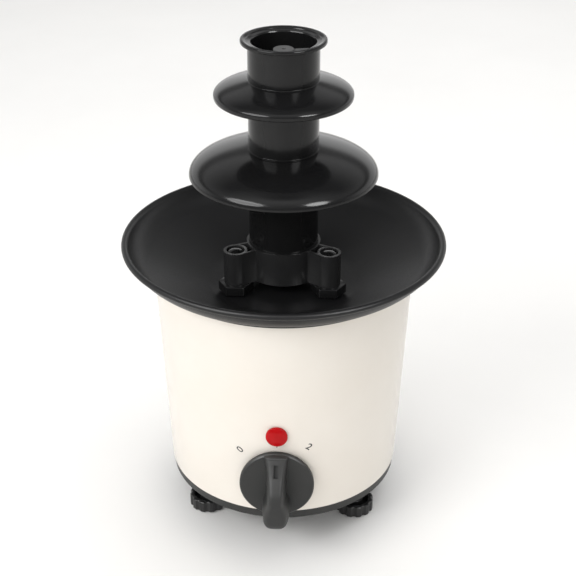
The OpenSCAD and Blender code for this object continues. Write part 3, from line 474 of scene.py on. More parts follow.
def add_node(
    tree: bpy.types.NodeTree,
    kind: str,
    settings: Mapping[str, object] | None = None,
    links: Mapping[str, bpy.types.NodeSocket] | None = None,
) -> bpy.types.Node:
    """Adds a node to a material.

    Args:
        tree: The material's nodes.
        kind: Blender's name for the node.
        settings: Values of its inputs by name, or of its own properties.
        links: Outputs of other nodes by the name of the input they feed.

    Returns:
        The node.
    """
    node = tree.nodes.new(kind)
    for key, value in (settings or {}).items():
        if key in node.inputs:
            node.inputs[key].default_value = value
        else:
            setattr(node, key, value)
    for key, source in (links or {}).items():
        tree.links.new(source, node.inputs[key])
    return node


@dataclass(frozen=True)
class Finish:
    """How one real material looks.

    Attributes:
        name: Material and how its surface was made.
        slot: The record's slot that it stands for; not used by this script.
        colour: Main colour, sRGB hex.
        shade: Colour of its fainter patches, sRGB hex.
        patch_mm: Width of those patches.
        rough: Lowest and highest roughness.
        grain: Pattern of the surface.
        grain_mm: Width of one grain, or spacing of the layers.
        relief_mm: Depth of the grain.
        stretch: How the grain is drawn out along X, Y and Z.
        shader: Values that are the same all over the surface, on the shader's own sockets.
    """

    name: str
    slot: str
    colour: str
    shade: str
    patch_mm: float
    rough: tuple[float, float]
    grain: Grain
    grain_mm: float
    relief_mm: float
    stretch: Place = (1.0, 1.0, 1.0)
    shader: Mapping[str, float] = field(default_factory=dict)

    def pattern(
        self, tree: bpy.types.NodeTree, place: bpy.types.NodeSocket
    ) -> bpy.types.NodeSocket:
        """Adds the grain to a material.

        Args:
            tree: The material's nodes.
            place: Object coordinates.

        Returns:
            Height of the grain, from 0 to 1.
        """
        drawn = add_node(tree, "ShaderNodeMapping", {"Scale": self.stretch}, {"Vector": place})
        across = {"Vector": drawn.outputs["Vector"]}
        scale = 1 / (self.grain_mm * MM)
        if self.grain is Grain.SPRAYED:
            flecks = {"Scale": scale, "Randomness": 1.0}
            return add_node(tree, "ShaderNodeTexVoronoi", flecks, across).outputs["Distance"]
        if self.grain is Grain.LAYERED:
            # The wave repeats every tenth of pi at scale 1
            bands = {
                "bands_direction": "Z",
                "Scale": math.pi / 10 * scale,
                "Distortion": 0.6,
                "Detail": 1.0,
            }
            return add_node(tree, "ShaderNodeTexWave", bands, across).outputs["Fac"]
        noise = {"Scale": scale, "Detail": 3.0, "Roughness": 0.5}
        return add_node(tree, "ShaderNodeTexNoise", noise, across).outputs["Fac"]

    def material(self) -> bpy.types.Material:
        """Makes the material, or finds it if it is already made.

        Returns:
            The material.
        """
        made = bpy.data.materials.get(self.name)
        if made:
            return made
        made = bpy.data.materials.new(self.name)
        made.use_nodes = True
        tree = made.node_tree
        tree.nodes.clear()
        place = add_node(tree, "ShaderNodeTexCoord").outputs["Object"]
        height = self.pattern(tree, place)
        patch = {"Scale": 1 / (self.patch_mm * MM), "Detail": 4.0, "Roughness": 0.6}
        patches = add_node(tree, "ShaderNodeTexNoise", patch, {"Vector": place})
        spread = {"From Min": 0.3, "From Max": 0.7}
        share = add_node(tree, "ShaderNodeMapRange", spread, {"Value": patches.outputs["Fac"]})
        colours = {"Color1": linear(self.colour), "Color2": linear(self.shade)}
        colour = add_node(tree, "ShaderNodeMixRGB", colours, {"Fac": share.outputs["Result"]})
        span = {"To Min": self.rough[0], "To Max": self.rough[1]}
        rough = add_node(tree, "ShaderNodeMapRange", span, {"Value": height})
        relief = {"Strength": 1.0, "Distance": self.relief_mm * MM}
        bump = add_node(tree, "ShaderNodeBump", relief, {"Height": height})
        surface = add_node(tree, "ShaderNodeBsdfPrincipled", self.shader, {
            "Base Color": colour.outputs["Color"],
            "Roughness": rough.outputs["Result"],
            "Normal": bump.outputs["Normal"],
        })
        add_node(tree, "ShaderNodeOutputMaterial", {}, {"Surface": surface.outputs["BSDF"]})
        return made

    def paint(self, piece: Object) -> None:
        """Gives a piece this finish alone."""
        piece.data.materials.clear()
        piece.data.materials.append(self.material())


# ABS moulded in a polished tool: an even, warm gloss with a faint swell to the reflections
CREAM_ABS = Finish(
    "cream_abs_polished_tool", "cream_plastic", "#E9E3DA", "#E6DFD5", patch_mm=60.0,
    rough=(0.20, 0.26), grain=Grain.MOULDED, grain_mm=9.0, relief_mm=0.004,
    shader={"IOR": 1.5},
)
# Black polypropylene moulded in a mirror-polished tool: near-black body under sharp reflections
BLACK_GLOSS = Finish(
    "black_plastic_mirror_tool", "black_plastic", "#151516", "#191919", patch_mm=40.0,
    rough=(0.12, 0.17), grain=Grain.MOULDED, grain_mm=7.0, relief_mm=0.003,
    shader={"IOR": 1.34},
)
# The same plastic from a tool that was only stoned: a softer satin black.
# Its colour is painted lighter than the tiers' black: painted light for the collar, which sits in
# the canopy's shade
LIGHTENED_BLACK_SATIN = Finish(
    "black_plastic_stoned_tool", "black_plastic", "#222223", "#282828", patch_mm=30.0,
    rough=(0.20, 0.28), grain=Grain.MOULDED, grain_mm=7.0, relief_mm=0.002,
    shader={"IOR": 1.45},
)
# Non-stick coating sprayed on aluminium and baked: satin, with fine flecks. The flecks are
# drawn about twice their size so that they show
NONSTICK = Finish(
    "nonstick_coating_sprayed", "nonstick_coating", "#101011", "#131314", patch_mm=22.0,
    rough=(0.34, 0.44), grain=Grain.SPRAYED, grain_mm=0.9, relief_mm=0.010,
    shader={"IOR": 1.38},
)
# Glass-filled nylon moulded in a spark-eroded tool: dark grey satin with a fine tooth, drawn
# about three times its size so that it shows
DARK_SATIN = Finish(
    "dark_nylon_eroded_tool", "dark_plastic", "#242524", "#292928", patch_mm=18.0,
    rough=(0.40, 0.52), grain=Grain.MOULDED, grain_mm=0.8, relief_mm=0.02,
    shader={"IOR": 1.42},
)
# Black plastic moulded in a plain tool: satin, with slight handling marks
FOOT_SATIN = Finish(
    "black_plastic_plain_tool", "foot_plastic", "#161616", "#1C1C1C", patch_mm=9.0,
    rough=(0.30, 0.42), grain=Grain.MOULDED, grain_mm=1.2, relief_mm=0.015,
    shader={"IOR": 1.5},
)
# Grey acetal, moulded and left matt: chalky, with faint flow marks
GREY_MATT = Finish(
    "grey_acetal_matt", "grey_plastic", "#515151", "#474747", patch_mm=8.0,
    rough=(0.50, 0.66), grain=Grain.MOULDED, grain_mm=1.0, relief_mm=0.03,
    shader={"IOR": 1.48},
)
# Clear red acrylic: deep colour under a hard gloss
RED_ACRYLIC = Finish(
    "red_acrylic_clear", "red_lens", "#B80B11", "#AC080C", patch_mm=7.0,
    rough=(0.05, 0.09), grain=Grain.MOULDED, grain_mm=2.5, relief_mm=0.004,
    shader={"IOR": 1.25, "Subsurface Weight": 0.15},
)
# Ink rolled on by a pad: flat dark grey with slightly thin spots
PAD_INK = Finish(
    "dial_ink_pad_printed", "dark_plastic", "#232322", "#2E2E2C", patch_mm=1.2,
    rough=(0.45, 0.6), grain=Grain.MOULDED, grain_mm=0.4, relief_mm=0.002,
)
# Zinc-plated steel: cool grey with a soft streaky sheen from the barrel
ZINC = Finish(
    "zinc_plated_steel", "zinc_steel", "#B9BDC2", "#A6ABB2", patch_mm=5.0,
    rough=(0.26, 0.42), grain=Grain.BRUSHED, grain_mm=0.5, relief_mm=0.004,
    stretch=(1.0, 1.0, 6.0), shader={"Metallic": 1.0},
)
# Ground steel: bright, with fine rings from the wheel
STEEL = Finish(
    "ground_steel", "steel", "#C9CACC", "#B7B9BC", patch_mm=6.0,
    rough=(0.16, 0.28), grain=Grain.BRUSHED, grain_mm=0.6, relief_mm=0.002,
    stretch=(0.1, 0.1, 5.0), shader={"Metallic": 1.0},
)
# Laminated electrical steel: a stack of sheets half a millimetre thick with dark seams
LAMINATIONS = Finish(
    "laminated_steel_stack", "lamination_steel", "#7E8184", "#6B6E72", patch_mm=9.0,
    rough=(0.34, 0.62), grain=Grain.LAYERED, grain_mm=0.5, relief_mm=0.06,
    shader={"Metallic": 1.0},
)
# Enamelled copper wire, wound in close turns: orange brown with a varnish gloss
COPPER_TURNS = Finish(
    "enamelled_copper_turns", "copper", "#B5622F", "#A05224", patch_mm=4.0,
    rough=(0.24, 0.40), grain=Grain.LAYERED, grain_mm=0.6, relief_mm=0.15,
    shader={"Metallic": 1.0, "Coat Weight": 0.5, "Coat Roughness": 0.15},
)
# Sintered bronze: warm brown metal with open pores
BRONZE = Finish(
    "sintered_bronze", "bronze", "#9C7A4E", "#876640", patch_mm=2.5,
    rough=(0.32, 0.52), grain=Grain.SPRAYED, grain_mm=0.5, relief_mm=0.01,
    shader={"Metallic": 1.0},
)
# Brass, turned from bar: yellow with fine rings
BRASS = Finish(
    "turned_brass", "brass", "#C7A75C", "#B3934A", patch_mm=4.0,
    rough=(0.20, 0.34), grain=Grain.BRUSHED, grain_mm=0.5, relief_mm=0.003,
    stretch=(0.2, 0.2, 4.0), shader={"Metallic": 1.0},
)
# Nickel-iron sheath of a tubular heater: dull grey with a heat-browned cast
SHEATH = Finish(
    "heater_sheath_oxidised", "element_sheath", "#6F675E", "#574E48", patch_mm=10.0,
    rough=(0.38, 0.55), grain=Grain.BRUSHED, grain_mm=0.8, relief_mm=0.006,
    stretch=(4.0, 4.0, 1.0), shader={"Metallic": 1.0},
)
# Natural nylon, moulded: milky off-white with a waxy sheen
NYLON = Finish(
    "natural_nylon_moulded", "nylon", "#E4DFD0", "#DAD4C2", patch_mm=14.0,
    rough=(0.36, 0.48), grain=Grain.MOULDED, grain_mm=1.5, relief_mm=0.01,
    shader={"IOR": 1.53, "Subsurface Weight": 0.1},
)
# Phenolic resin, pressed: brown black with a dusty, hard surface
PHENOLIC = Finish(
    "pressed_phenolic", "phenolic", "#2B211C", "#352A23", patch_mm=3.0,
    rough=(0.40, 0.56), grain=Grain.SPRAYED, grain_mm=0.6, relief_mm=0.01,
    shader={"IOR": 1.6},
)
# Black rubber, moulded: matt and slightly dusty
RUBBER = Finish(
    "moulded_rubber", "rubber", "#1A1A1A", "#242423", patch_mm=5.0,
    rough=(0.66, 0.82), grain=Grain.MOULDED, grain_mm=0.7, relief_mm=0.03,
    shader={"IOR": 1.5},
)
# Black silicone rubber: soft matt with a faint bloom
SILICONE = Finish(
    "moulded_silicone", "silicone", "#1C1B1B", "#252423", patch_mm=6.0,
    rough=(0.52, 0.66), grain=Grain.MOULDED, grain_mm=0.8, relief_mm=0.01,
    shader={"IOR": 1.41},
)
# Glass of a small neon lamp: clear, drawn tube with slight ripples
LAMP_GLASS = Finish(
    "drawn_lamp_glass", "lamp_glass", "#F2EDE4", "#EDE6DA", patch_mm=3.0,
    rough=(0.02, 0.05), grain=Grain.BRUSHED, grain_mm=1.5, relief_mm=0.01,
    stretch=(1.0, 0.2, 1.0), shader={"IOR": 1.5, "Transmission Weight": 0.9},
)
# Silicone-varnished glass sleeving on wire: woven, off-white
SLEEVE = Finish(
    "braided_wire_sleeve", "wire_sleeve", "#D9D3C4", "#C7C0AE", patch_mm=2.0,
    rough=(0.55, 0.72), grain=Grain.SPRAYED, grain_mm=0.6, relief_mm=0.03,
    shader={"IOR": 1.45},
)
# Matt paint on the studio's floor: near white with faint roller marks
FLOOR_PAINT = Finish(
    "floor_matt_paint", "floor", "#F6F5F3", "#F2F1EF", patch_mm=300.0,
    rough=(0.6, 0.7), grain=Grain.MOULDED, grain_mm=40.0, relief_mm=0.01,
)


@dataclass(frozen=True)
class Dressing:
    """How a new piece joins the model: its finish, the body it rides on, the solids it replaces."""

    finish: Finish
    body: str
    solids: tuple[str, ...] = ()

    def put_on(self, piece: Object) -> None:
        """Dresses a piece and reports it.

        Args:
            piece: The piece.
        """
        self.finish.paint(piece)
        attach(piece, self.body)
        if self.solids:
            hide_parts(*self.solids)
        LOG.info("%s: %s, rides on %s", piece.name, self.finish.name, self.body)


# Stand


@dataclass
class Feet:
    """Three screw feet: a scalloped thumb wheel on a threaded stud, over a rubber pad.

    Attributes:
        rim_whole: Inner part of the rim that the scallops leave whole.
        scallop_out: How far a scallop's centre is outside the wheel, as a share of its radius.
        thread_crest: Start and end of the thread's flat crest, as shares of the pitch.
        thread_end: Length of the stud that isn't counted for the thread's turns.
    """

    circle_r: float = 58.5
    wheel_r: float = 13.0
    wheel_low: float = 0.8
    wheel_top: float = 9.0
    rim: float = 3.0
    rim_whole: float = 0.9
    hub_r: float = 5.6
    web_top: float = 4.4
    taper: float = 0.2
    scallops: int = 12
    scallop_r: float = 2.4
    scallop_out: float = 0.6
    scallop_steps: int = 18
    pad_r: float = 9.5
    pad_h: float = 2.4
    pad_play: float = 0.3
    groove_off: float = 1.2
    groove_w: float = 1.0
    groove_h: float = 0.5
    stud_r: float = 3.0
    stud_top: float = 39.0
    stud_play: float = 0.02
    stud_steps: int = 32
    pitch: float = 1.0
    thread_h: float = 0.42
    thread_sink: float = 0.05
    thread_crest: Point = (0.4, 0.6)
    thread_low: float = 0.3
    thread_end: float = 1.5
    thread_steps: int = 28

    def scalloped(self, point: Vector) -> Vector:
        """Pulls a point of the rim in where a scallop crosses it.

        Args:
            point: Point of the plain wheel.

        Returns:
            Its place on the scalloped wheel.
        """
        centre = self.wheel_r + self.scallop_out * self.scallop_r
        step = math.tau / self.scallops
        distance = math.hypot(point.x, point.y)
        angle = math.atan2(point.y, point.x)
        off = angle - step * round(angle / step)
        side = centre * math.sin(off)
        if distance < self.wheel_r - self.rim + self.rim_whole or abs(side) >= self.scallop_r:
            return point
        near = centre * math.cos(off) - math.sqrt(self.scallop_r**2 - side**2)
        scale = (distance - max(0.0, self.wheel_r - near)) / distance
        return Vector((point.x * scale, point.y * scale, point.z))

    def wheel(self) -> Object:
        """Models the thumb wheel on the tower's axis.

        Returns:
            The wheel.
        """
        recess_r = self.pad_r + self.pad_play
        inner_r = self.wheel_r - self.rim
        bore_r = self.stud_r + self.stud_play
        piece = turn("thumb_wheel", rounded([
            Corner(recess_r, self.wheel_low, soft=0.3),
            Corner(self.wheel_r, self.wheel_low, soft=0.7),
            Corner(self.wheel_r, self.wheel_top, soft=1.1),
            Corner(inner_r, self.wheel_top, soft=0.7),
            Corner(inner_r - self.taper, self.web_top, soft=0.6),
            Corner(self.hub_r + self.taper, self.web_top, soft=0.5),
            Corner(self.hub_r, self.wheel_top, soft=0.6),
            Corner(bore_r, self.wheel_top, soft=0.3),
            Corner(bore_r, self.pad_h),
            Corner(recess_r, self.pad_h),
        ]), steps=self.scallop_steps * self.scallops)
        reshape(piece, self.scalloped)
        return piece

    def stud(self) -> Object:
        """Models the threaded stud on the tower's axis.

        Returns:
            The stud.
        """
        root_r = self.stud_r - self.thread_h
        core = turn("stud_core", rounded([
            Corner(0.0, self.pad_h),
            Corner(root_r, self.pad_h),
            Corner(root_r, self.stud_top, soft=0.5),
            Corner(0.0, self.stud_top),
        ]), steps=self.stud_steps)
        sunk_r = root_r - self.thread_sink
        low, high = self.thread_crest
        ridge = [(sunk_r, 0.0), (self.stud_r, low), (self.stud_r, high), (sunk_r, 1.0)]
        section = [(r, self.pad_h + self.thread_low + h * self.pitch) for r, h in ridge]
        rounds = int((self.stud_top - self.pad_h - self.thread_end) / self.pitch)
        thread = screwed(
            "stud_thread", section, self.pitch, turns=1.0, rounds=rounds, steps=self.thread_steps,
            closed=False,
        )
        return joined("foot_stud", [core, thread])

    def pad(self) -> Object:
        """Models the rubber pad with its groove on the tower's axis.

        Returns:
            The pad.
        """
        outer_r = self.pad_r - self.groove_off
        inner_r = outer_r - self.groove_w
        return turn("foot_pad", rounded([
            Corner(0.0, 0.0),
            Corner(inner_r, 0.0, soft=0.3),
            Corner(inner_r, self.groove_h, soft=0.2),
            Corner(outer_r, self.groove_h, soft=0.2),
            Corner(outer_r, 0.0, soft=0.3),
            Corner(self.pad_r, 0.0, soft=0.6),
            Corner(self.pad_r, self.pad_h, soft=0.3),
            Corner(0.0, self.pad_h),
        ]), steps=72)

    def build(self) -> None:
        """Models one foot and copies it to the three places."""
        patterns = (
            (self.wheel(), "wheel", FOOT_SATIN, "wheel"),
            (self.stud(), "stud", ZINC, "wheel"),
            (self.pad(), "pad", RUBBER, "pad"),
        )
        for third in Third:
            side, place = third.label, on_circle(third, self.circle_r)
            for pattern, kind, finish, body in patterns:
                copy = copied(pattern, f"{kind}_{side}_piece", place)
                Dressing(finish, f"foot_{side}_{body}", (f"foot_{kind}_{side}",)).put_on(copy)
        for pattern, *_ in patterns:
            discard(pattern)


# Housing


@dataclass(frozen=True)
class Numeral:
    """One numeral of the dial.

    Attributes:
        mark: The numeral.
        angle: Direction from the knob's axis, in degrees to the right of straight up.
        reach: Distance from the knob's axis.
        size: Height of the type.
    """

    mark: str
    angle: float
    reach: float
    size: float


@dataclass
class Housing:
    """Cream shell between the base and the bowl, flared a little upward.

    Attributes:
        drill_in: How far the holes' cutters reach inward from the shell's foot.
        drill_out: How far they reach outward from its top.
        type_scale: Font size of type that is one high.
        ink_spread: How much bolder the ink is than the font.
        ink_lift: How far the ink's middle is off the shell.
    """

    bottom_r: float = 77.6
    top_r: float = 84.5
    low: float = 32.1
    high: float = 175.0
    wall: float = 2.2
    knob_z: float = 58.0
    knob_hole_r: float = 5.25
    lamp_z: float = 94.0
    lamp_hole_r: float = 5.15
    inlet_z: float = 48.0
    inlet_hole_r: float = 5.85
    drill_in: float = 12.0
    drill_out: float = 5.0
    numerals: tuple[Numeral, ...] = (
        Numeral("0", -48.0, 32.0, 4.8),
        Numeral("1", 0.0, 27.6, 2.6),
        Numeral("2", 38.0, 33.0, 4.8),
    )
    type_scale: float = 1.4
    ink_t: float = 0.01
    ink_spread: float = 0.09
    ink_lift: float = 0.03

    def radius(self, height: float) -> float:
        """Outer radius at a height."""
        share = (height - self.low) / (self.high - self.low)
        return self.bottom_r + (self.top_r - self.bottom_r) * share

    def shell(self) -> Object:
        """Models the shell with its holes for knob, lamp and cord.

        Returns:
            The shell.
        """
        piece = turn("housing_shell", rounded([
            Corner(self.bottom_r, self.low, soft=0.7),
            Corner(self.top_r, self.high, soft=0.5),
            Corner(self.top_r - self.wall, self.high, soft=0.3),
            Corner(self.bottom_r - self.wall, self.low, soft=0.3),
        ]), steps=216)
        near, far = self.bottom_r - self.drill_in, self.top_r + self.drill_out
        holes = (
            (self.knob_z, self.knob_hole_r, Axis.FRONT),
            (self.lamp_z, self.lamp_hole_r, Axis.FRONT),
            (self.inlet_z, self.inlet_hole_r, Axis.BACK),
        )
        for height, radius, axis in holes:
            carve(piece, turn("hole", bar(radius, near, far), (0.0, 0.0, height), axis, steps=48))
        smooth(piece)
        return piece

    def printed(self, numeral: Numeral) -> Object:
        """Prints one numeral of the dial on the shell.

        Args:
            numeral: The numeral.

        Returns:
            A thin mesh that follows the shell.
        """
        deselect()
        bpy.ops.object.text_add(location=ORIGIN)
        text = bpy.context.object.data
        text.body, text.size = numeral.mark, numeral.size * self.type_scale * MM
        text.align_x, text.align_y = "CENTER", "CENTER"
        text.extrude, text.offset = self.ink_t * MM, self.ink_spread * MM
        bpy.ops.object.convert(target="MESH")
        piece = named(f"dial_numeral_{numeral.mark}")
        turned = math.radians(numeral.angle)
        cosine, sine = math.cos(turned), math.sin(turned)

        def lay(point: Vector) -> Vector:
            """Lays the flat type on the shell.

            Args:
                point: Point of the flat type.

            Returns:
                Its place on the shell.
            """
            x = numeral.reach * sine + point.x * cosine + point.y * sine
            z = self.knob_z + numeral.reach * cosine - point.x * sine + point.y * cosine
            depth = self.radius(z) + self.ink_lift + point.z
            return Vector((x, -math.sqrt(depth**2 - x**2), z))

        reshape(piece, lay)
        return piece

    def build(self) -> None:
        """Models and dresses the shell and the dial's numerals."""
        Dressing(CREAM_ABS, "frame", ("housing",)).put_on(self.shell())
        for numeral in self.numerals:
            Dressing(PAD_INK, "frame").put_on(self.printed(numeral))


# Bowl


@dataclass
class Bowl:
    """Heated bowl with a rolled rim, a flat floor and the hub for the shaft.

    Angles of the wall's bend count from straight down, those of the rim's bead from straight out.
    """

    rim_r: float = 105.0
    rim_z: float = 195.1
    bead_r: float = 2.0
    bead_from: float = 148.0
    bead_to: float = -118.0
    floor_r: float = 47.0
    floor_z: float = 163.1
    floor_soft: float = 22.0
    under_soft: float = 8.0
    wall: float = 2.2
    slope: float = 23.0
    bend_c: Point = (81.386, 199.756)
    bend_r: float = 20.306
    bend_inside: float = 72.0
    bend_outside: float = 62.0
    seat_z: float = 175.0
    seat_in: float = 80.8
    seat_out: float = 85.0
    hub_r: float = 9.5
    hub_top: float = 168.1
    bore_r: float = 5.0
    seal_r: float = 7.0
    seal_z: float = 162.1

    def bend(self, radius: float, start: float, end: float) -> list[Corner]:
        """Bend of the wall between two of its angles."""
        return plain(arc(self.bend_c, radius, start - 90, end - 90, steps=22))

    def build(self) -> None:
        """Models the bowl as one turned shell and dresses it."""
        under = self.floor_z - self.wall
        under_r = self.floor_r - self.wall * math.tan(math.radians(self.slope / 2))
        fall = math.tan(math.radians(self.slope))
        outside = self.bend(self.bend_r + self.wall, self.bend_outside, self.slope)
        low = outside[-1]
        bead_c = (self.rim_r - self.bead_r, self.rim_z - self.bead_r)
        outline = rounded([
            Corner(self.bore_r, under, soft=0.2),
            Corner(self.bore_r, self.seal_z, soft=0.1),
            Corner(self.seal_r, self.seal_z, soft=0.1),
            Corner(self.seal_r, self.hub_top, soft=0.4),
            Corner(self.hub_r, self.hub_top, soft=0.9),
            Corner(self.hub_r, self.floor_z, soft=1.2),
            Corner(self.floor_r, self.floor_z, self.floor_soft),
            *self.bend(self.bend_r, self.slope, self.bend_inside),
            *plain(arc(bead_c, self.bead_r, self.bead_from, self.bead_to, steps=28)),
            *outside,
            Corner(self.seat_out, low.h - (low.r - self.seat_out) * fall, soft=0.5),
            Corner(self.seat_out, self.seat_z, soft=0.3),
            Corner(self.seat_in, self.seat_z, soft=0.2),
            Corner(self.seat_in, low.h - (low.r - self.seat_in) * fall, soft=0.1),
            Corner(under_r, under, self.under_soft),
        ], steps=8)
        Dressing(NONSTICK, "frame", ("bowl",)).put_on(turn("bowl_coated", outline, steps=216))


# Tower


@dataclass
class Posts:
    """Three posts on the bowl's floor: a hexagonal foot and a pin with a domed top.

    Attributes:
        dome_skip: Points of the dome that make way for its rounded edge.
    """

    circle_r: float = 34.5
    low: float = 164.1
    hex_r: float = 11.5
    hex_h: float = 6.4
    hex_turn: float = 30.0
    hex_edge: float = 0.6
    pin_r: float = 5.6
    pin_sink: float = 1.0
    top: float = 193.2
    dome_r: float = 10.0
    dome_skip: int = 3

    def foot(self) -> Object:
        """Models the hexagonal foot on the tower's axis.

        Returns:
            The foot.
        """
        deselect()
        bpy.ops.mesh.primitive_cylinder_add(
            vertices=6,
            radius=self.hex_r * MM,
            depth=self.hex_h * MM,
            location=(0, 0, (self.low + self.hex_h / 2) * MM),
            rotation=(0, 0, math.radians(self.hex_turn)),
        )
        piece = settled("post_foot")
        soften(piece, self.hex_edge)
        return piece

    def pin(self) -> Object:
        """Models the pin on the tower's axis.

        Returns:
            The pin.
        """
        low = self.low + self.pin_sink
        edge = math.degrees(math.acos(self.pin_r / self.dome_r))
        dome = arc((0.0, self.top - self.dome_r), self.dome_r, edge, 90, steps=10)
        return turn("post_pin", rounded([
            Corner(0.0, low),
            Corner(self.pin_r, low),
            Corner(*dome[0], soft=1.1),
            *plain(dome[self.dome_skip:]),
        ]), steps=64)

    def build(self) -> None:
        """Models one post, copies it to the three places and dresses them as one."""
        post = joined("post", [self.foot(), self.pin()])
        copies = [copied(post, f"post_{t.label}", on_circle(t, self.circle_r)) for t in Third]
        discard(post)
        Dressing(BLACK_GLOSS, "frame", ("tower_posts",)).put_on(joined("posts_moulded", copies))


@dataclass
class Collar:
    """Collar that carries the tower on the posts, with three hollow ears.

    Attributes:
        boss_share: How far inward of an ear's centre its webs meet it, as a share of its radius.
        root_x: How far an ear's outline starts from the tower's axis.
        root_soft: Rounding where an ear meets the collar.
        root_gap: Degrees of the collar on each side of an ear that the rounding takes up.
        pocket_from: Where the pocket's width near the collar is taken.
        pocket_to: Where its width near the ear's boss is taken.
        overcut: How far the cutters reach past the collar.
    """

    low: float = 170.5
    height: float = 22.3
    radius: float = 23.9
    bore_r: float = 20.2
    ledge_z: float = 172.5
    socket_r: float = 22.35
    ear_circle_r: float = 34.5
    ear_r: float = 7.7
    ear_bore_r: float = 5.9
    boss_share: float = 0.3
    web_t: float = 1.5
    root_r: float = 20.9
    root_half: float = 6.5
    root_x: float = 22.9
    root_soft: float = 1.2
    root_gap: float = 4.0
    tip_half: float = 7.4
    pocket_from: float = 23.0
    pocket_to: float = 30.0
    edge: float = 0.6
    overcut: float = 1.0

    def half(self, x: float) -> float:
        """Half width of an ear's web at a distance from the tower's axis."""
        share = (x - self.root_r) / (self.ear_circle_r - self.root_r)
        return self.root_half + (self.tip_half - self.root_half) * share

    def ear(self) -> list[Point]:
        """Draws one ear along +X, from its root on the right to its root on the left.

        Returns:
            Its open outline.
        """
        boss_x = self.ear_circle_r - self.ear_r * self.boss_share
        side = 180 - math.degrees(math.asin(self.half(boss_x) / self.ear_r))
        boss = arc((self.ear_circle_r, 0.0), self.ear_r, -side, side, steps=30)
        root_y = self.half(self.root_x)
        return [(self.root_x, -root_y), *boss, (self.root_x, root_y)]

    def pocket(self) -> list[Point]:
        """Draws the hollow along +X between an ear's webs, the collar and the ear's boss.

        Returns:
            Its closed outline.
        """
        near = self.half(self.pocket_from) - self.web_t
        far = self.half(self.pocket_to) - self.web_t
        near_a = math.degrees(math.asin(near / self.radius))
        far_a = math.degrees(math.asin(far / self.ear_r))
        return [
            *arc((0.0, 0.0), self.radius, near_a, -near_a, steps=8),
            *arc((self.ear_circle_r, 0.0), self.ear_r, 180 + far_a, 180 - far_a, steps=8),
        ]

    def outline(self) -> list[Point]:
        """Draws the collar with its three ears.

        Returns:
            Its closed outline.
        """
        root = math.degrees(math.atan2(self.half(self.root_x), self.root_x)) + self.root_gap
        corners: list[Corner] = []
        for third in Third:
            first, *boss, last = swung(self.ear(), third.value)
            corners += [Corner(*first, self.root_soft), *plain(boss), Corner(*last, self.root_soft)]
            start, end = third.value + root, third.value + 360 / len(Third) - root
            corners += plain(arc((0.0, 0.0), self.radius, start, end, steps=20))
        return rounded(corners)

    def build(self) -> None:
        """Models the collar, cuts its bores and pockets and dresses it."""
        top = self.low + self.height
        below, above = self.low - self.overcut, top + self.overcut
        piece = slab("collar_moulded", self.outline(), self.low, top)
        socket = [
            (0.0, below), (self.bore_r, below), (self.bore_r, self.ledge_z),
            (self.socket_r, self.ledge_z), (self.socket_r, above), (0.0, above),
        ]
        cutters = [turn("bore", socket, steps=120)]
        for third in Third:
            place = on_circle(third, self.ear_circle_r)
            cutters += [
                turn("ear_bore", bar(self.ear_bore_r, below, above), place, steps=48),
                slab("pocket", swung(self.pocket(), third.value), below, above),
            ]
        for cutter in cutters:
            carve(piece, cutter)
        soften(piece, self.edge)
        # The collar's black is painted lighter than the tiers' black, as painted light for its
        # place in the canopy's shade
        Dressing(LIGHTENED_BLACK_SATIN, "collar", ("tower_collar",)).put_on(piece)


@dataclass
class Tier:
    """One tier of the tower: a tube with a domed canopy and a spigot for the next piece.

    Attributes:
        dome: The two powers of the superellipse that the canopy's curve is.
        lip: How far the canopy's edge hangs down.
        thicker: How much thicker the canopy is at the tube than at its edge.
        step: Keeps the last corner off the one before it.
    """

    body: str
    low: float
    edge_z: float
    edge_r: float
    rise: float
    dome: Point
    socket_h: float = 0.0
    lip: float = 0.5
    lip_soft: float = 0.6
    tube_r: float = 22.2
    bore_r: float = 19.9
    neck_h: float = 0.8
    spigot_r: float = 21.0
    spigot_h: float = 8.0
    socket_r: float = 21.1
    thickness: float = 2.4
    thicker: float = 0.4
    step: float = 0.01

    def curve(self, edge_r: float, rise: float, steps: int) -> list[Corner]:
        """Curve of the canopy from the tube to its edge.

        Args:
            edge_r: Radius of the edge.
            rise: Height of the curve's top above the edge.
            steps: Parts of the curve.

        Returns:
            Corners along the curve.
        """
        corners: list[Corner] = []
        for k in range(steps + 1):
            x = math.sin(math.pi / 2 * k / steps)
            height = max(0.0, 1 - x ** self.dome[0]) ** (1 / self.dome[1])
            r = self.tube_r + (edge_r - self.tube_r) * x
            corners.append(Corner(r, self.edge_z + rise * height))
        return corners

    def build(self) -> None:
        """Models the tier as one turned piece and dresses it."""
        joint_z = self.edge_z + self.rise + self.neck_h
        lip_z = self.edge_z - self.lip
        lip_r = self.edge_r - self.lip_soft / (1 + self.lip)
        inner_r = self.edge_r - self.thickness
        inner_rise = self.rise - self.thickness - self.thicker
        ledge_z = self.low + self.socket_h
        foot = [Corner(self.tube_r, self.low, soft=0.6)]
        if self.socket_h:
            foot += [Corner(self.socket_r, self.low, soft=0.3), Corner(self.socket_r, ledge_z)]
        else:
            foot += [Corner(self.bore_r, self.low, soft=0.4)]
        outline = rounded([
            Corner(self.bore_r, joint_z + self.spigot_h, soft=0.4),
            Corner(self.spigot_r, joint_z + self.spigot_h, soft=0.5),
            Corner(self.spigot_r, joint_z, soft=0.1),
            Corner(self.tube_r, joint_z, soft=0.35),
            *self.curve(self.edge_r, self.rise, steps=44),
            Corner(lip_r, lip_z, self.lip_soft * (1 + self.lip)),
            Corner(inner_r, lip_z, self.lip_soft),
            *reversed(self.curve(inner_r, inner_rise, steps=28)),
            *foot,
            Corner(self.bore_r, ledge_z + self.step),
        ])
        piece = turn(f"{self.body}_moulded", outline, steps=192)
        Dressing(BLACK_GLOSS, self.body, (self.body,)).put_on(piece)


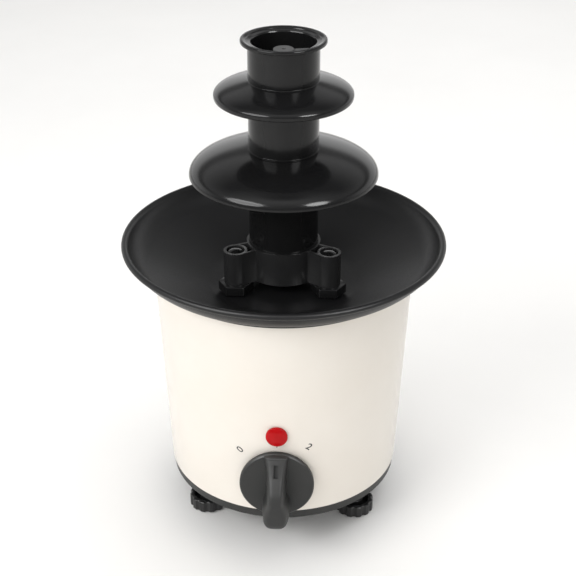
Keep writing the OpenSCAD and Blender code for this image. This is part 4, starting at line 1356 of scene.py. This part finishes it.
LOWER_TIER = Tier(
    "lower_tier", low=172.5, edge_z=239.9, edge_r=59.9, rise=16.6, dome=(1.3, 2.2)
)
UPPER_TIER = Tier(
    "upper_tier", low=257.3, edge_z=292.4, edge_r=43.4, rise=8.9, dome=(0.85, 2.2),
    socket_h=8.4, lip=2.3,
)


@dataclass
class Crown:
    """Short top tube with a flat flange round its mouth, which the chocolate wells over.

    Attributes:
        flange: Corners of the flange, with heights from the top.
        mouth: Corners of the mouth, with heights from the top.
    """

    low: float = 302.1
    top: float = 327.5
    tube_r: float = 22.2
    bore_r: float = 19.9
    socket_r: float = 21.1
    socket_h: float = 8.4
    flange: tuple[Corner, ...] = (
        Corner(22.2, -2.9, soft=0.9),
        Corner(26.6, -2.4, soft=1.0),
        Corner(26.6, -0.1, soft=1.1),
        Corner(25.0, 0.0, soft=0.8),
    )
    mouth: tuple[Corner, ...] = (
        Corner(23.1, -0.5, soft=0.5),
        Corner(22.7, -1.15, soft=0.3),
        Corner(20.3, -1.6, soft=0.5),
        Corner(19.9, -2.4, soft=0.4),
    )

    def build(self) -> None:
        """Models the crown as one turned piece and dresses it."""
        upper = [Corner(c.r, self.top + c.h, c.soft) for c in self.flange + self.mouth]
        outline = rounded([
            Corner(self.socket_r, self.low, soft=0.2),
            Corner(self.tube_r, self.low, soft=0.5),
            *upper,
            Corner(self.bore_r, self.low + self.socket_h),
            Corner(self.socket_r, self.low + self.socket_h),
        ])
        piece = turn("crown_moulded", outline, steps=192)
        Dressing(BLACK_GLOSS, "crown", ("crown",)).put_on(piece)


@dataclass
class Auger:
    """Lifting screw inside the tower, a core with one helical flight."""

    low: float = 169.9
    top: float = 321.1
    core_r: float = 6.5
    dimple_r: float = 1.2
    dimple_h: float = 2.0
    dimple_tip: float = 0.3
    socket_r: float = 3.9
    socket_h: float = 18.2
    flight_r: float = 19.1
    flight_t: float = 2.4
    flight_sink: float = 1.0
    flight_top: float = 320.6
    pitch: float = 30.0
    turns: float = 4.875
    turn_steps: int = 56
    end_angle: float = 12.0

    def core(self) -> Object:
        """Models the core with the shaft's socket below and a small dimple on top.

        Returns:
            The core.
        """
        dimple_z = self.top - self.dimple_h
        return turn("auger_core", rounded([
            Corner(0.0, self.low + self.socket_h),
            Corner(self.socket_r, self.low + self.socket_h),
            Corner(self.socket_r, self.low, soft=0.3),
            Corner(self.core_r, self.low, soft=0.5),
            Corner(self.core_r, self.top, soft=0.8),
            Corner(self.dimple_r, self.top, soft=0.25),
            Corner(self.dimple_r, dimple_z),
            Corner(0.0, dimple_z - self.dimple_tip),
        ]), steps=64)

    def flight(self) -> Object:
        """Models the flight by screwing its rounded section up the core.

        Returns:
            The flight.
        """
        root_r = self.core_r - self.flight_sink
        high = self.flight_top - self.pitch * self.turns
        low = high - self.flight_t
        section = rounded([
            Corner(root_r, low),
            Corner(self.flight_r, low, soft=0.8),
            Corner(self.flight_r, high, soft=0.8),
            Corner(root_r, high),
        ], steps=4)
        steps = int(self.turns * self.turn_steps)
        piece = screwed(
            "auger_flight", section, self.pitch, self.turns, rounds=1, steps=steps, closed=True
        )
        start = math.radians(self.end_angle - 360 * self.turns)
        piece.data.transform(Matrix.Rotation(start, 4, "Z"))
        return piece

    def build(self) -> None:
        """Joins core and flight and dresses the auger."""
        piece = joined("auger_moulded", [self.core(), self.flight()])
        Dressing(GREY_MATT, "auger", ("auger",)).put_on(piece)


# Controls


@dataclass
class Knob:
    """Control knob: a chamfered disc with a waisted bar grip and a pointer slot.

    Attributes:
        cap_t: Thickness of the face over the spindle's bore.
        grip_sink: How far the grip reaches into the disc.
        grip_in: How far the grip's ends stay inside the disc's edge.
        grid: Parts of the grid that becomes the grip, across and up.
        fold: Edges of the grip that are sharper than this many degrees stay sharp.
        boxiness: Power of the superellipse of the grip's sections.
        draft: How much wider the grip is at its foot than at its front.
        draft_loss: Share of that which the lower end lacks.
        end_from: Height above the knob's axis from which the lower end is rounded off.
        end_power: Power of that rounding.
        top_flare: How much the half width grows toward the top.
        top_from: Height above the knob's axis from which it grows.
        swell_from: Height from which the grip widens toward its lower end.
        swell_to: Height where it is at its widest.
        slot: Width, depth and length of the pointer slot.
        side: How far the grip stands out, as a share of grip_h, at shares of the radius.
    """

    height: float = 58.0
    radius: float = 24.0
    back: float = 80.66
    face: float = 84.26
    chamfer: float = 0.9
    bore_r: float = 3.05
    cap_t: float = 1.0
    grip_h: float = 19.6
    grip_sink: float = 0.3
    grip_in: float = 0.2
    grid: tuple[int, int] = (64, 140)
    fold: float = 60.0
    boxiness: float = 4.6
    waist: float = 5.2
    low_half: float = 8.5
    draft: float = 1.3
    draft_loss: float = 0.75
    end_from: float = -14.0
    end_power: float = 3.2
    top_flare: float = 1.7
    top_from: float = 3.0
    swell_from: float = -3.0
    swell_to: float = -13.5
    slot_u: float = 15.8
    slot: Place = (3.0, 4.6, 8.2)
    slot_lean: float = 31.0
    side: tuple[Point, ...] = (
        (-0.995, 0.0), (-0.99, 0.4), (-0.975, 0.66), (-0.94, 0.82), (-0.88, 0.92), (-0.78, 0.98),
        (-0.62, 1.0), (-0.4, 1.0), (-0.16, 0.965), (0.08, 0.87), (0.3, 0.7), (0.52, 0.51),
        (0.75, 0.33), (0.9, 0.215), (0.96, 0.16), (0.985, 0.08), (0.995, 0.0),
    )

    @cached_property
    def slopes(self) -> list[float]:
        """Slope of the side line at each of its points, the mean of the slopes beside it."""
        steep = [(high - low) / (b - a) for (a, low), (b, high) in zip(self.side, self.side[1:])]
        return [(a + b) / 2 for a, b in zip([steep[0], *steep], [*steep, steep[-1]])]

    @property
    def foot(self) -> float:
        """How far the grip's foot is from the tower's axis."""
        return self.face - self.grip_sink

    def swell(self, u: float) -> float:
        """Share of the way from the waist, 0, to the wide lower end, 1, at a height u."""
        return min(1.0, max(0.0, (self.swell_from - u) / (self.swell_from - self.swell_to)))

    def half_width(self, u: float) -> float:
        """Half width of the grip's front.

        Args:
            u: Height above the knob's axis.

        Returns:
            The half width.
        """
        share = self.swell(u)
        end = max(0.0, (self.end_from - u) / (self.radius + self.end_from))
        full = self.low_half * math.sqrt(max(0.0, 1 - min(1.0, end) ** self.end_power))
        top = max(0.0, (u - self.top_from) / (self.radius - self.top_from))
        swell = share * share * (3 - 2 * share)
        return self.waist + (full - self.waist) * swell + self.top_flare * top * top

    def flank(self, u: float) -> float:
        """How much wider the grip is at its foot than at its front, at a height u."""
        return self.draft * (1 - self.draft_loss * self.swell(u))

    def rise(self, u: float) -> float:
        """How far the grip stands out from the disc, on a smooth curve through the side line.

        Args:
            u: Height above the knob's axis.

        Returns:
            The distance.
        """
        share = u / self.radius
        spans = zip(self.side, self.side[1:], self.slopes, self.slopes[1:])
        for (a, low), (b, high), start, end in spans:
            if a <= share <= b:
                wide, climb = b - a, high - low
                t = (share - a) / wide
                bend = (1 - t) * (start * wide - climb) - t * (end * wide - climb)
                out = low + climb * t + t * (1 - t) * bend
                return self.grip_h * min(1.0, max(0.0, out))
        return 0.0

    def disc(self) -> Object:
        """Models the disc with its chamfered edge.

        Returns:
            The disc.
        """
        return turn("knob_disc", rounded([
            Corner(self.bore_r, self.back),
            Corner(self.radius, self.back, soft=0.4),
            Corner(self.radius, self.face - self.chamfer, soft=0.4),
            Corner(self.radius - self.chamfer, self.face, soft=0.5),
            Corner(0.0, self.face),
            Corner(0.0, self.face - self.cap_t),
            Corner(self.bore_r, self.face - self.cap_t),
        ]), (0.0, 0.0, self.height), Axis.FRONT, steps=144)

    def wrapped(self, point: Vector) -> Vector:
        """Wraps a flat grid round the grip's sections.

        Args:
            point: Point of the grid, from -1 to 1 across and up.

        Returns:
            Its place on the grip.
        """
        u = self.radius * self.side[-1][0] * math.sin(math.pi / 2 * point.y)
        turned = math.pi / 2 * point.x
        across = math.copysign(abs(math.sin(turned)) ** (2 / self.boxiness), turned)
        out = abs(math.cos(turned)) ** (2 / self.boxiness)
        edge = math.sqrt(max(0.0, (self.radius - self.grip_in) ** 2 - u * u))
        half = min(self.half_width(u) + self.flank(u) * (1 - out), edge)
        return Vector((across * half, -self.foot - self.rise(u) * out, self.height + u))

    def grip(self) -> Object:
        """Models the grip from a fine grid, with the pointer slot cut in.

        Returns:
            The grip.
        """
        deselect()
        columns, rows = self.grid
        bpy.ops.mesh.primitive_grid_add(x_subdivisions=columns, y_subdivisions=rows, size=2 * MM)
        reshape(named("knob_grip"), self.wrapped)
        bpy.ops.object.mode_set(mode="EDIT")
        merge_doubles()
        bpy.ops.mesh.fill_holes(sides=0)
        piece = close_mesh("knob_grip", math.radians(self.fold))
        deselect()
        ridge = self.foot + self.rise(self.slot_u)
        bpy.ops.mesh.primitive_cube_add(
            size=1.0,
            location=Vector((0.0, -ridge, self.height + self.slot_u)) * MM,
            rotation=(math.radians(-self.slot_lean), 0, 0),
            scale=Vector(self.slot) * MM,
        )
        carve(piece, settled("slot"))
        return piece

    def build(self) -> None:
        """Joins disc and grip and dresses the knob."""
        piece = joined("knob_moulded", [self.disc(), self.grip()])
        Dressing(DARK_SATIN, "knob", ("knob",)).put_on(piece)


@dataclass
class Lamp:
    """Red indicator lens above the knob.

    Attributes:
        flange_over: How far the flange's corner is above the dome's edge, before its rounding.
        dome_off: Degrees of the dome that make way for that rounding.
    """

    height: float = 94.0
    back: float = 81.18
    radius: float = 7.0
    flange: float = 1.4
    flange_over: float = 0.1
    dome: float = 1.8
    dome_off: float = 4.0
    tube_r: float = 4.9
    tube_wall: float = 0.9
    depth: float = 14.0

    def build(self) -> None:
        """Models the lens with its mounting tube and dresses it."""
        rho = (self.radius**2 + self.dome**2) / (2 * self.dome)
        edge = math.degrees(math.acos(self.radius / rho)) + self.dome_off
        front = self.back + self.flange
        bore_r, inner = self.tube_r - self.tube_wall, self.back - self.depth
        outline = rounded([
            Corner(0.0, self.back),
            Corner(bore_r, self.back),
            Corner(bore_r, inner),
            Corner(self.tube_r, inner),
            Corner(self.tube_r, self.back),
            Corner(self.radius, self.back, soft=0.3),
            Corner(self.radius, front + self.flange_over, soft=0.7),
            *plain(arc((0.0, front + self.dome - rho), rho, edge, 90, steps=14)),
        ])
        piece = turn("lens_red", outline, (0.0, 0.0, self.height), Axis.FRONT, steps=72)
        Dressing(RED_ACRYLIC, "frame", ("lamp_lens",)).put_on(piece)


@dataclass
class Gland:
    """Cord inlet at the back of the housing."""

    height: float = 48.0
    inner: float = 65.17
    outer: float = 78.78
    bore_r: float = 3.4
    tube_r: float = 5.6
    flange_r: float = 8.6
    flange_t: float = 2.4
    mouth_w: float = 1.6
    mouth_h: float = 1.2

    def build(self) -> None:
        """Models the gland as one turned piece and dresses it."""
        face = self.outer + self.flange_t
        outline = rounded([
            Corner(self.bore_r, self.inner, soft=0.3),
            Corner(self.tube_r, self.inner, soft=0.4),
            Corner(self.tube_r, self.outer),
            Corner(self.flange_r, self.outer, soft=0.3),
            Corner(self.flange_r, face, soft=0.9),
            Corner(self.bore_r + self.mouth_w, face, soft=0.3),
            Corner(self.bore_r, face - self.mouth_h, soft=0.5),
        ])
        piece = turn("cord_inlet_moulded", outline, (0.0, 0.0, self.height), Axis.BACK, steps=64)
        Dressing(DARK_SATIN, "frame", ("cord_gland",)).put_on(piece)


# Works


@dataclass
class Solids:
    """Pieces shown as their solids are: the base and the works inside."""

    finishes: tuple[tuple[Finish, tuple[str, ...]], ...] = (
        (DARK_SATIN, ("base_plate", "gland_nut")),
        (ZINC, (
            "base_screws", "bowl_screws", "post_screws", "post_sleeves", "gearbox_screws",
            "motor_screws", "switch_screws", "motor_bracket", "lamp_clip",
        )),
        (STEEL, ("drive_shaft", "idler_pin", "rotor_shaft", "switch_spindle")),
        (BRONZE, ("shaft_bush_upper", "shaft_bush_lower", "rotor_bush_upper", "rotor_bush_lower")),
        (BRASS, ("foot_nuts",)),
        (NYLON, (
            "output_gear", "idler_gear", "gearbox_case", "gearbox_cover", "coil_bobbin",
            "terminal_block",
        )),
        (PHENOLIC, ("thermostat", "thermal_fuse", "switch_body")),
        (SILICONE, ("post_gaskets", "shaft_seal")),
        (LAMINATIONS, ("rotor_core", "stator_core")),
        (COPPER_TURNS, ("coil_winding",)),
        (SHEATH, ("heating_element",)),
        (LAMP_GLASS, ("lamp_tube",)),
        (SLEEVE, ("heater_wires", "motor_wires", "lamp_wires")),
    )

    def dress(self, nodes: Mapping[str, Object]) -> None:
        """Gives every solid that is kept its finish.

        Args:
            nodes: The solids by name.
        """
        for finish, names in self.finishes:
            for name in names:
                finish.paint(nodes[name])
                LOG.info("%s: %s", name, finish.name)


# Studio


@dataclass(frozen=True)
class Softbox:
    """One studio light, in metres and watts.

    Attributes:
        name: Name of the light.
        place: Where it stands.
        aim: Point it is turned to.
        size: Its width and height.
        power: Its power.
        mirrored: Whether it shows in reflections.
        spread: Whether it lights matt surfaces.
    """

    name: str
    place: Place
    aim: Place
    size: Point
    power: float
    mirrored: bool = True
    spread: bool = True

    def build(self) -> None:
        """Puts the light in its place, turned to what it lights."""
        way = Vector(self.aim) - Vector(self.place)
        facing = way.to_track_quat("-Z", "Y").to_euler()
        deselect()
        bpy.ops.object.light_add(type="AREA", location=self.place, rotation=facing)
        light = bpy.context.object
        light.name = self.name
        light.data.shape = "ELLIPSE"
        light.data.size, light.data.size_y = self.size
        light.data.energy = self.power
        light.visible_glossy = self.mirrored
        light.visible_diffuse = self.spread


@dataclass
class Studio:
    """Pale floor, soft light and the camera, in metres and degrees.

    The stops give the room's brightness by the sine of the height of a direction, on the camera's
    side and behind the fountain.
    """

    lights: tuple[Softbox, ...] = (
        Softbox(
            "key_left", place=(-0.98, -0.92, 1.12), aim=(0.0, 0.0, 0.2), size=(1.15, 0.6),
            power=11.5,
        ),
        Softbox(
            "glint_left", place=(-0.98, -0.92, 1.12), aim=(0.0, 0.0, 0.2), size=(1.2, 0.85),
            power=36.0, spread=False,
        ),
        Softbox(
            "glint_right", place=(0.98, -0.96, 1.12), aim=(0.0, 0.0, 0.2), size=(0.7, 0.8),
            power=22.0, spread=False,
        ),
        Softbox(
            "overhead", place=(0.3, 0.5, 1.6), aim=(0.3, 0.5, 0.0), size=(1.8, 1.8),
            power=15.0, mirrored=False,
        ),
        Softbox(
            "front", place=(-0.1, -1.5, 0.6), aim=(0.0, 0.0, 0.17), size=(0.9, 0.9),
            power=3.6, mirrored=False,
        ),
    )
    front_stops: tuple[Point, ...] = (
        (0.0, 0.25), (0.4, 0.36), (0.7, 0.60), (0.88, 1.0), (0.95, 1.0), (1.0, 0.16),
    )
    back_stops: tuple[Point, ...] = (
        (0.0, 1.0), (0.30, 0.95), (0.36, 0.20), (0.43, 0.16), (0.50, 0.58), (0.62, 0.46),
        (0.8, 0.10), (1.0, 0.10),
    )
    glow: float = 1.25
    floor_size: float = 8.0
    lens: float = 83.25
    sensor: float = 36.0
    distance: float = 0.775
    height: float = 0.5785
    tilt: float = 28.57
    swing: float = 3.1
    shift: float = 0.0075
    nearest: float = 0.01

    def floor(self) -> None:
        """Lays the floor."""
        deselect()
        bpy.ops.mesh.primitive_plane_add(size=self.floor_size, location=ORIGIN)
        floor = named("studio_floor")
        FLOOR_PAINT.paint(floor)

    def surroundings(self) -> None:
        """Lights the room: a white backdrop, a dark gap and a dim band over it, a glow in front."""
        world = bpy.data.worlds.new("studio")
        bpy.context.scene.world = world
        world.use_nodes = True
        tree = world.node_tree
        tree.nodes.clear()
        place = add_node(tree, "ShaderNodeTexCoord").outputs["Generated"]
        split = add_node(tree, "ShaderNodeSeparateXYZ", {}, {"Vector": place})
        colours = []
        for stops in (self.front_stops, self.back_stops):
            ramp = add_node(tree, "ShaderNodeValToRGB", {}, {"Fac": split.outputs["Z"]})
            elements = ramp.color_ramp.elements
            while len(elements) < len(stops):
                elements.new(0.5)
            for element, (rise, value) in zip(elements, stops):
                element.position = rise
                element.color = (value, value, value, 1.0)
            colours.append(ramp.outputs["Color"])
        side = {"From Min": -0.3, "From Max": 0.3}
        back = add_node(tree, "ShaderNodeMapRange", side, {"Value": split.outputs["Y"]})
        room = add_node(tree, "ShaderNodeMixRGB", {}, {
            "Fac": back.outputs["Result"],
            "Color1": colours[0],
            "Color2": colours[1],
        })
        glow = {"Strength": self.glow}
        light = add_node(tree, "ShaderNodeBackground", glow, {"Color": room.outputs["Color"]})
        add_node(tree, "ShaderNodeOutputWorld", {}, {"Surface": light.outputs["Background"]})

    def camera(self) -> None:
        """Sets the camera at the photograph's angle."""
        swing = math.radians(self.swing)
        place = (self.distance * math.sin(swing), -self.distance * math.cos(swing), self.height)
        deselect()
        facing = (math.radians(90 - self.tilt), 0, swing)
        bpy.ops.object.camera_add(location=place, rotation=facing)
        camera = bpy.context.object
        camera.name = "camera"
        camera.data.lens, camera.data.sensor_width = self.lens, self.sensor
        camera.data.shift_x = self.shift
        camera.data.clip_start = self.nearest
        bpy.context.scene.camera = camera

    def build(self) -> None:
        """Sets up floor, light and camera."""
        self.floor()
        self.surroundings()
        for light in self.lights:
            light.build()
        self.camera()
        view = bpy.context.scene.view_settings
        view.view_transform, view.look = "Standard", "None"


def main() -> None:
    """Builds the fountain's looks over its solids."""
    logging.basicConfig(level=logging.INFO, format="%(message)s")
    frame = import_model()
    assemblies = (
        Studio(), Feet(), Housing(), Bowl(), Posts(), Collar(), LOWER_TIER, UPPER_TIER, Crown(),
        Auger(), Knob(), Lamp(), Gland(),
    )
    for assembly in assemblies:
        assembly.build()
        LOG.info("%s done", type(assembly).__name__)
    Solids().dress(frame["nodes"])
    deselect()


if __name__ == "__main__":
    main()
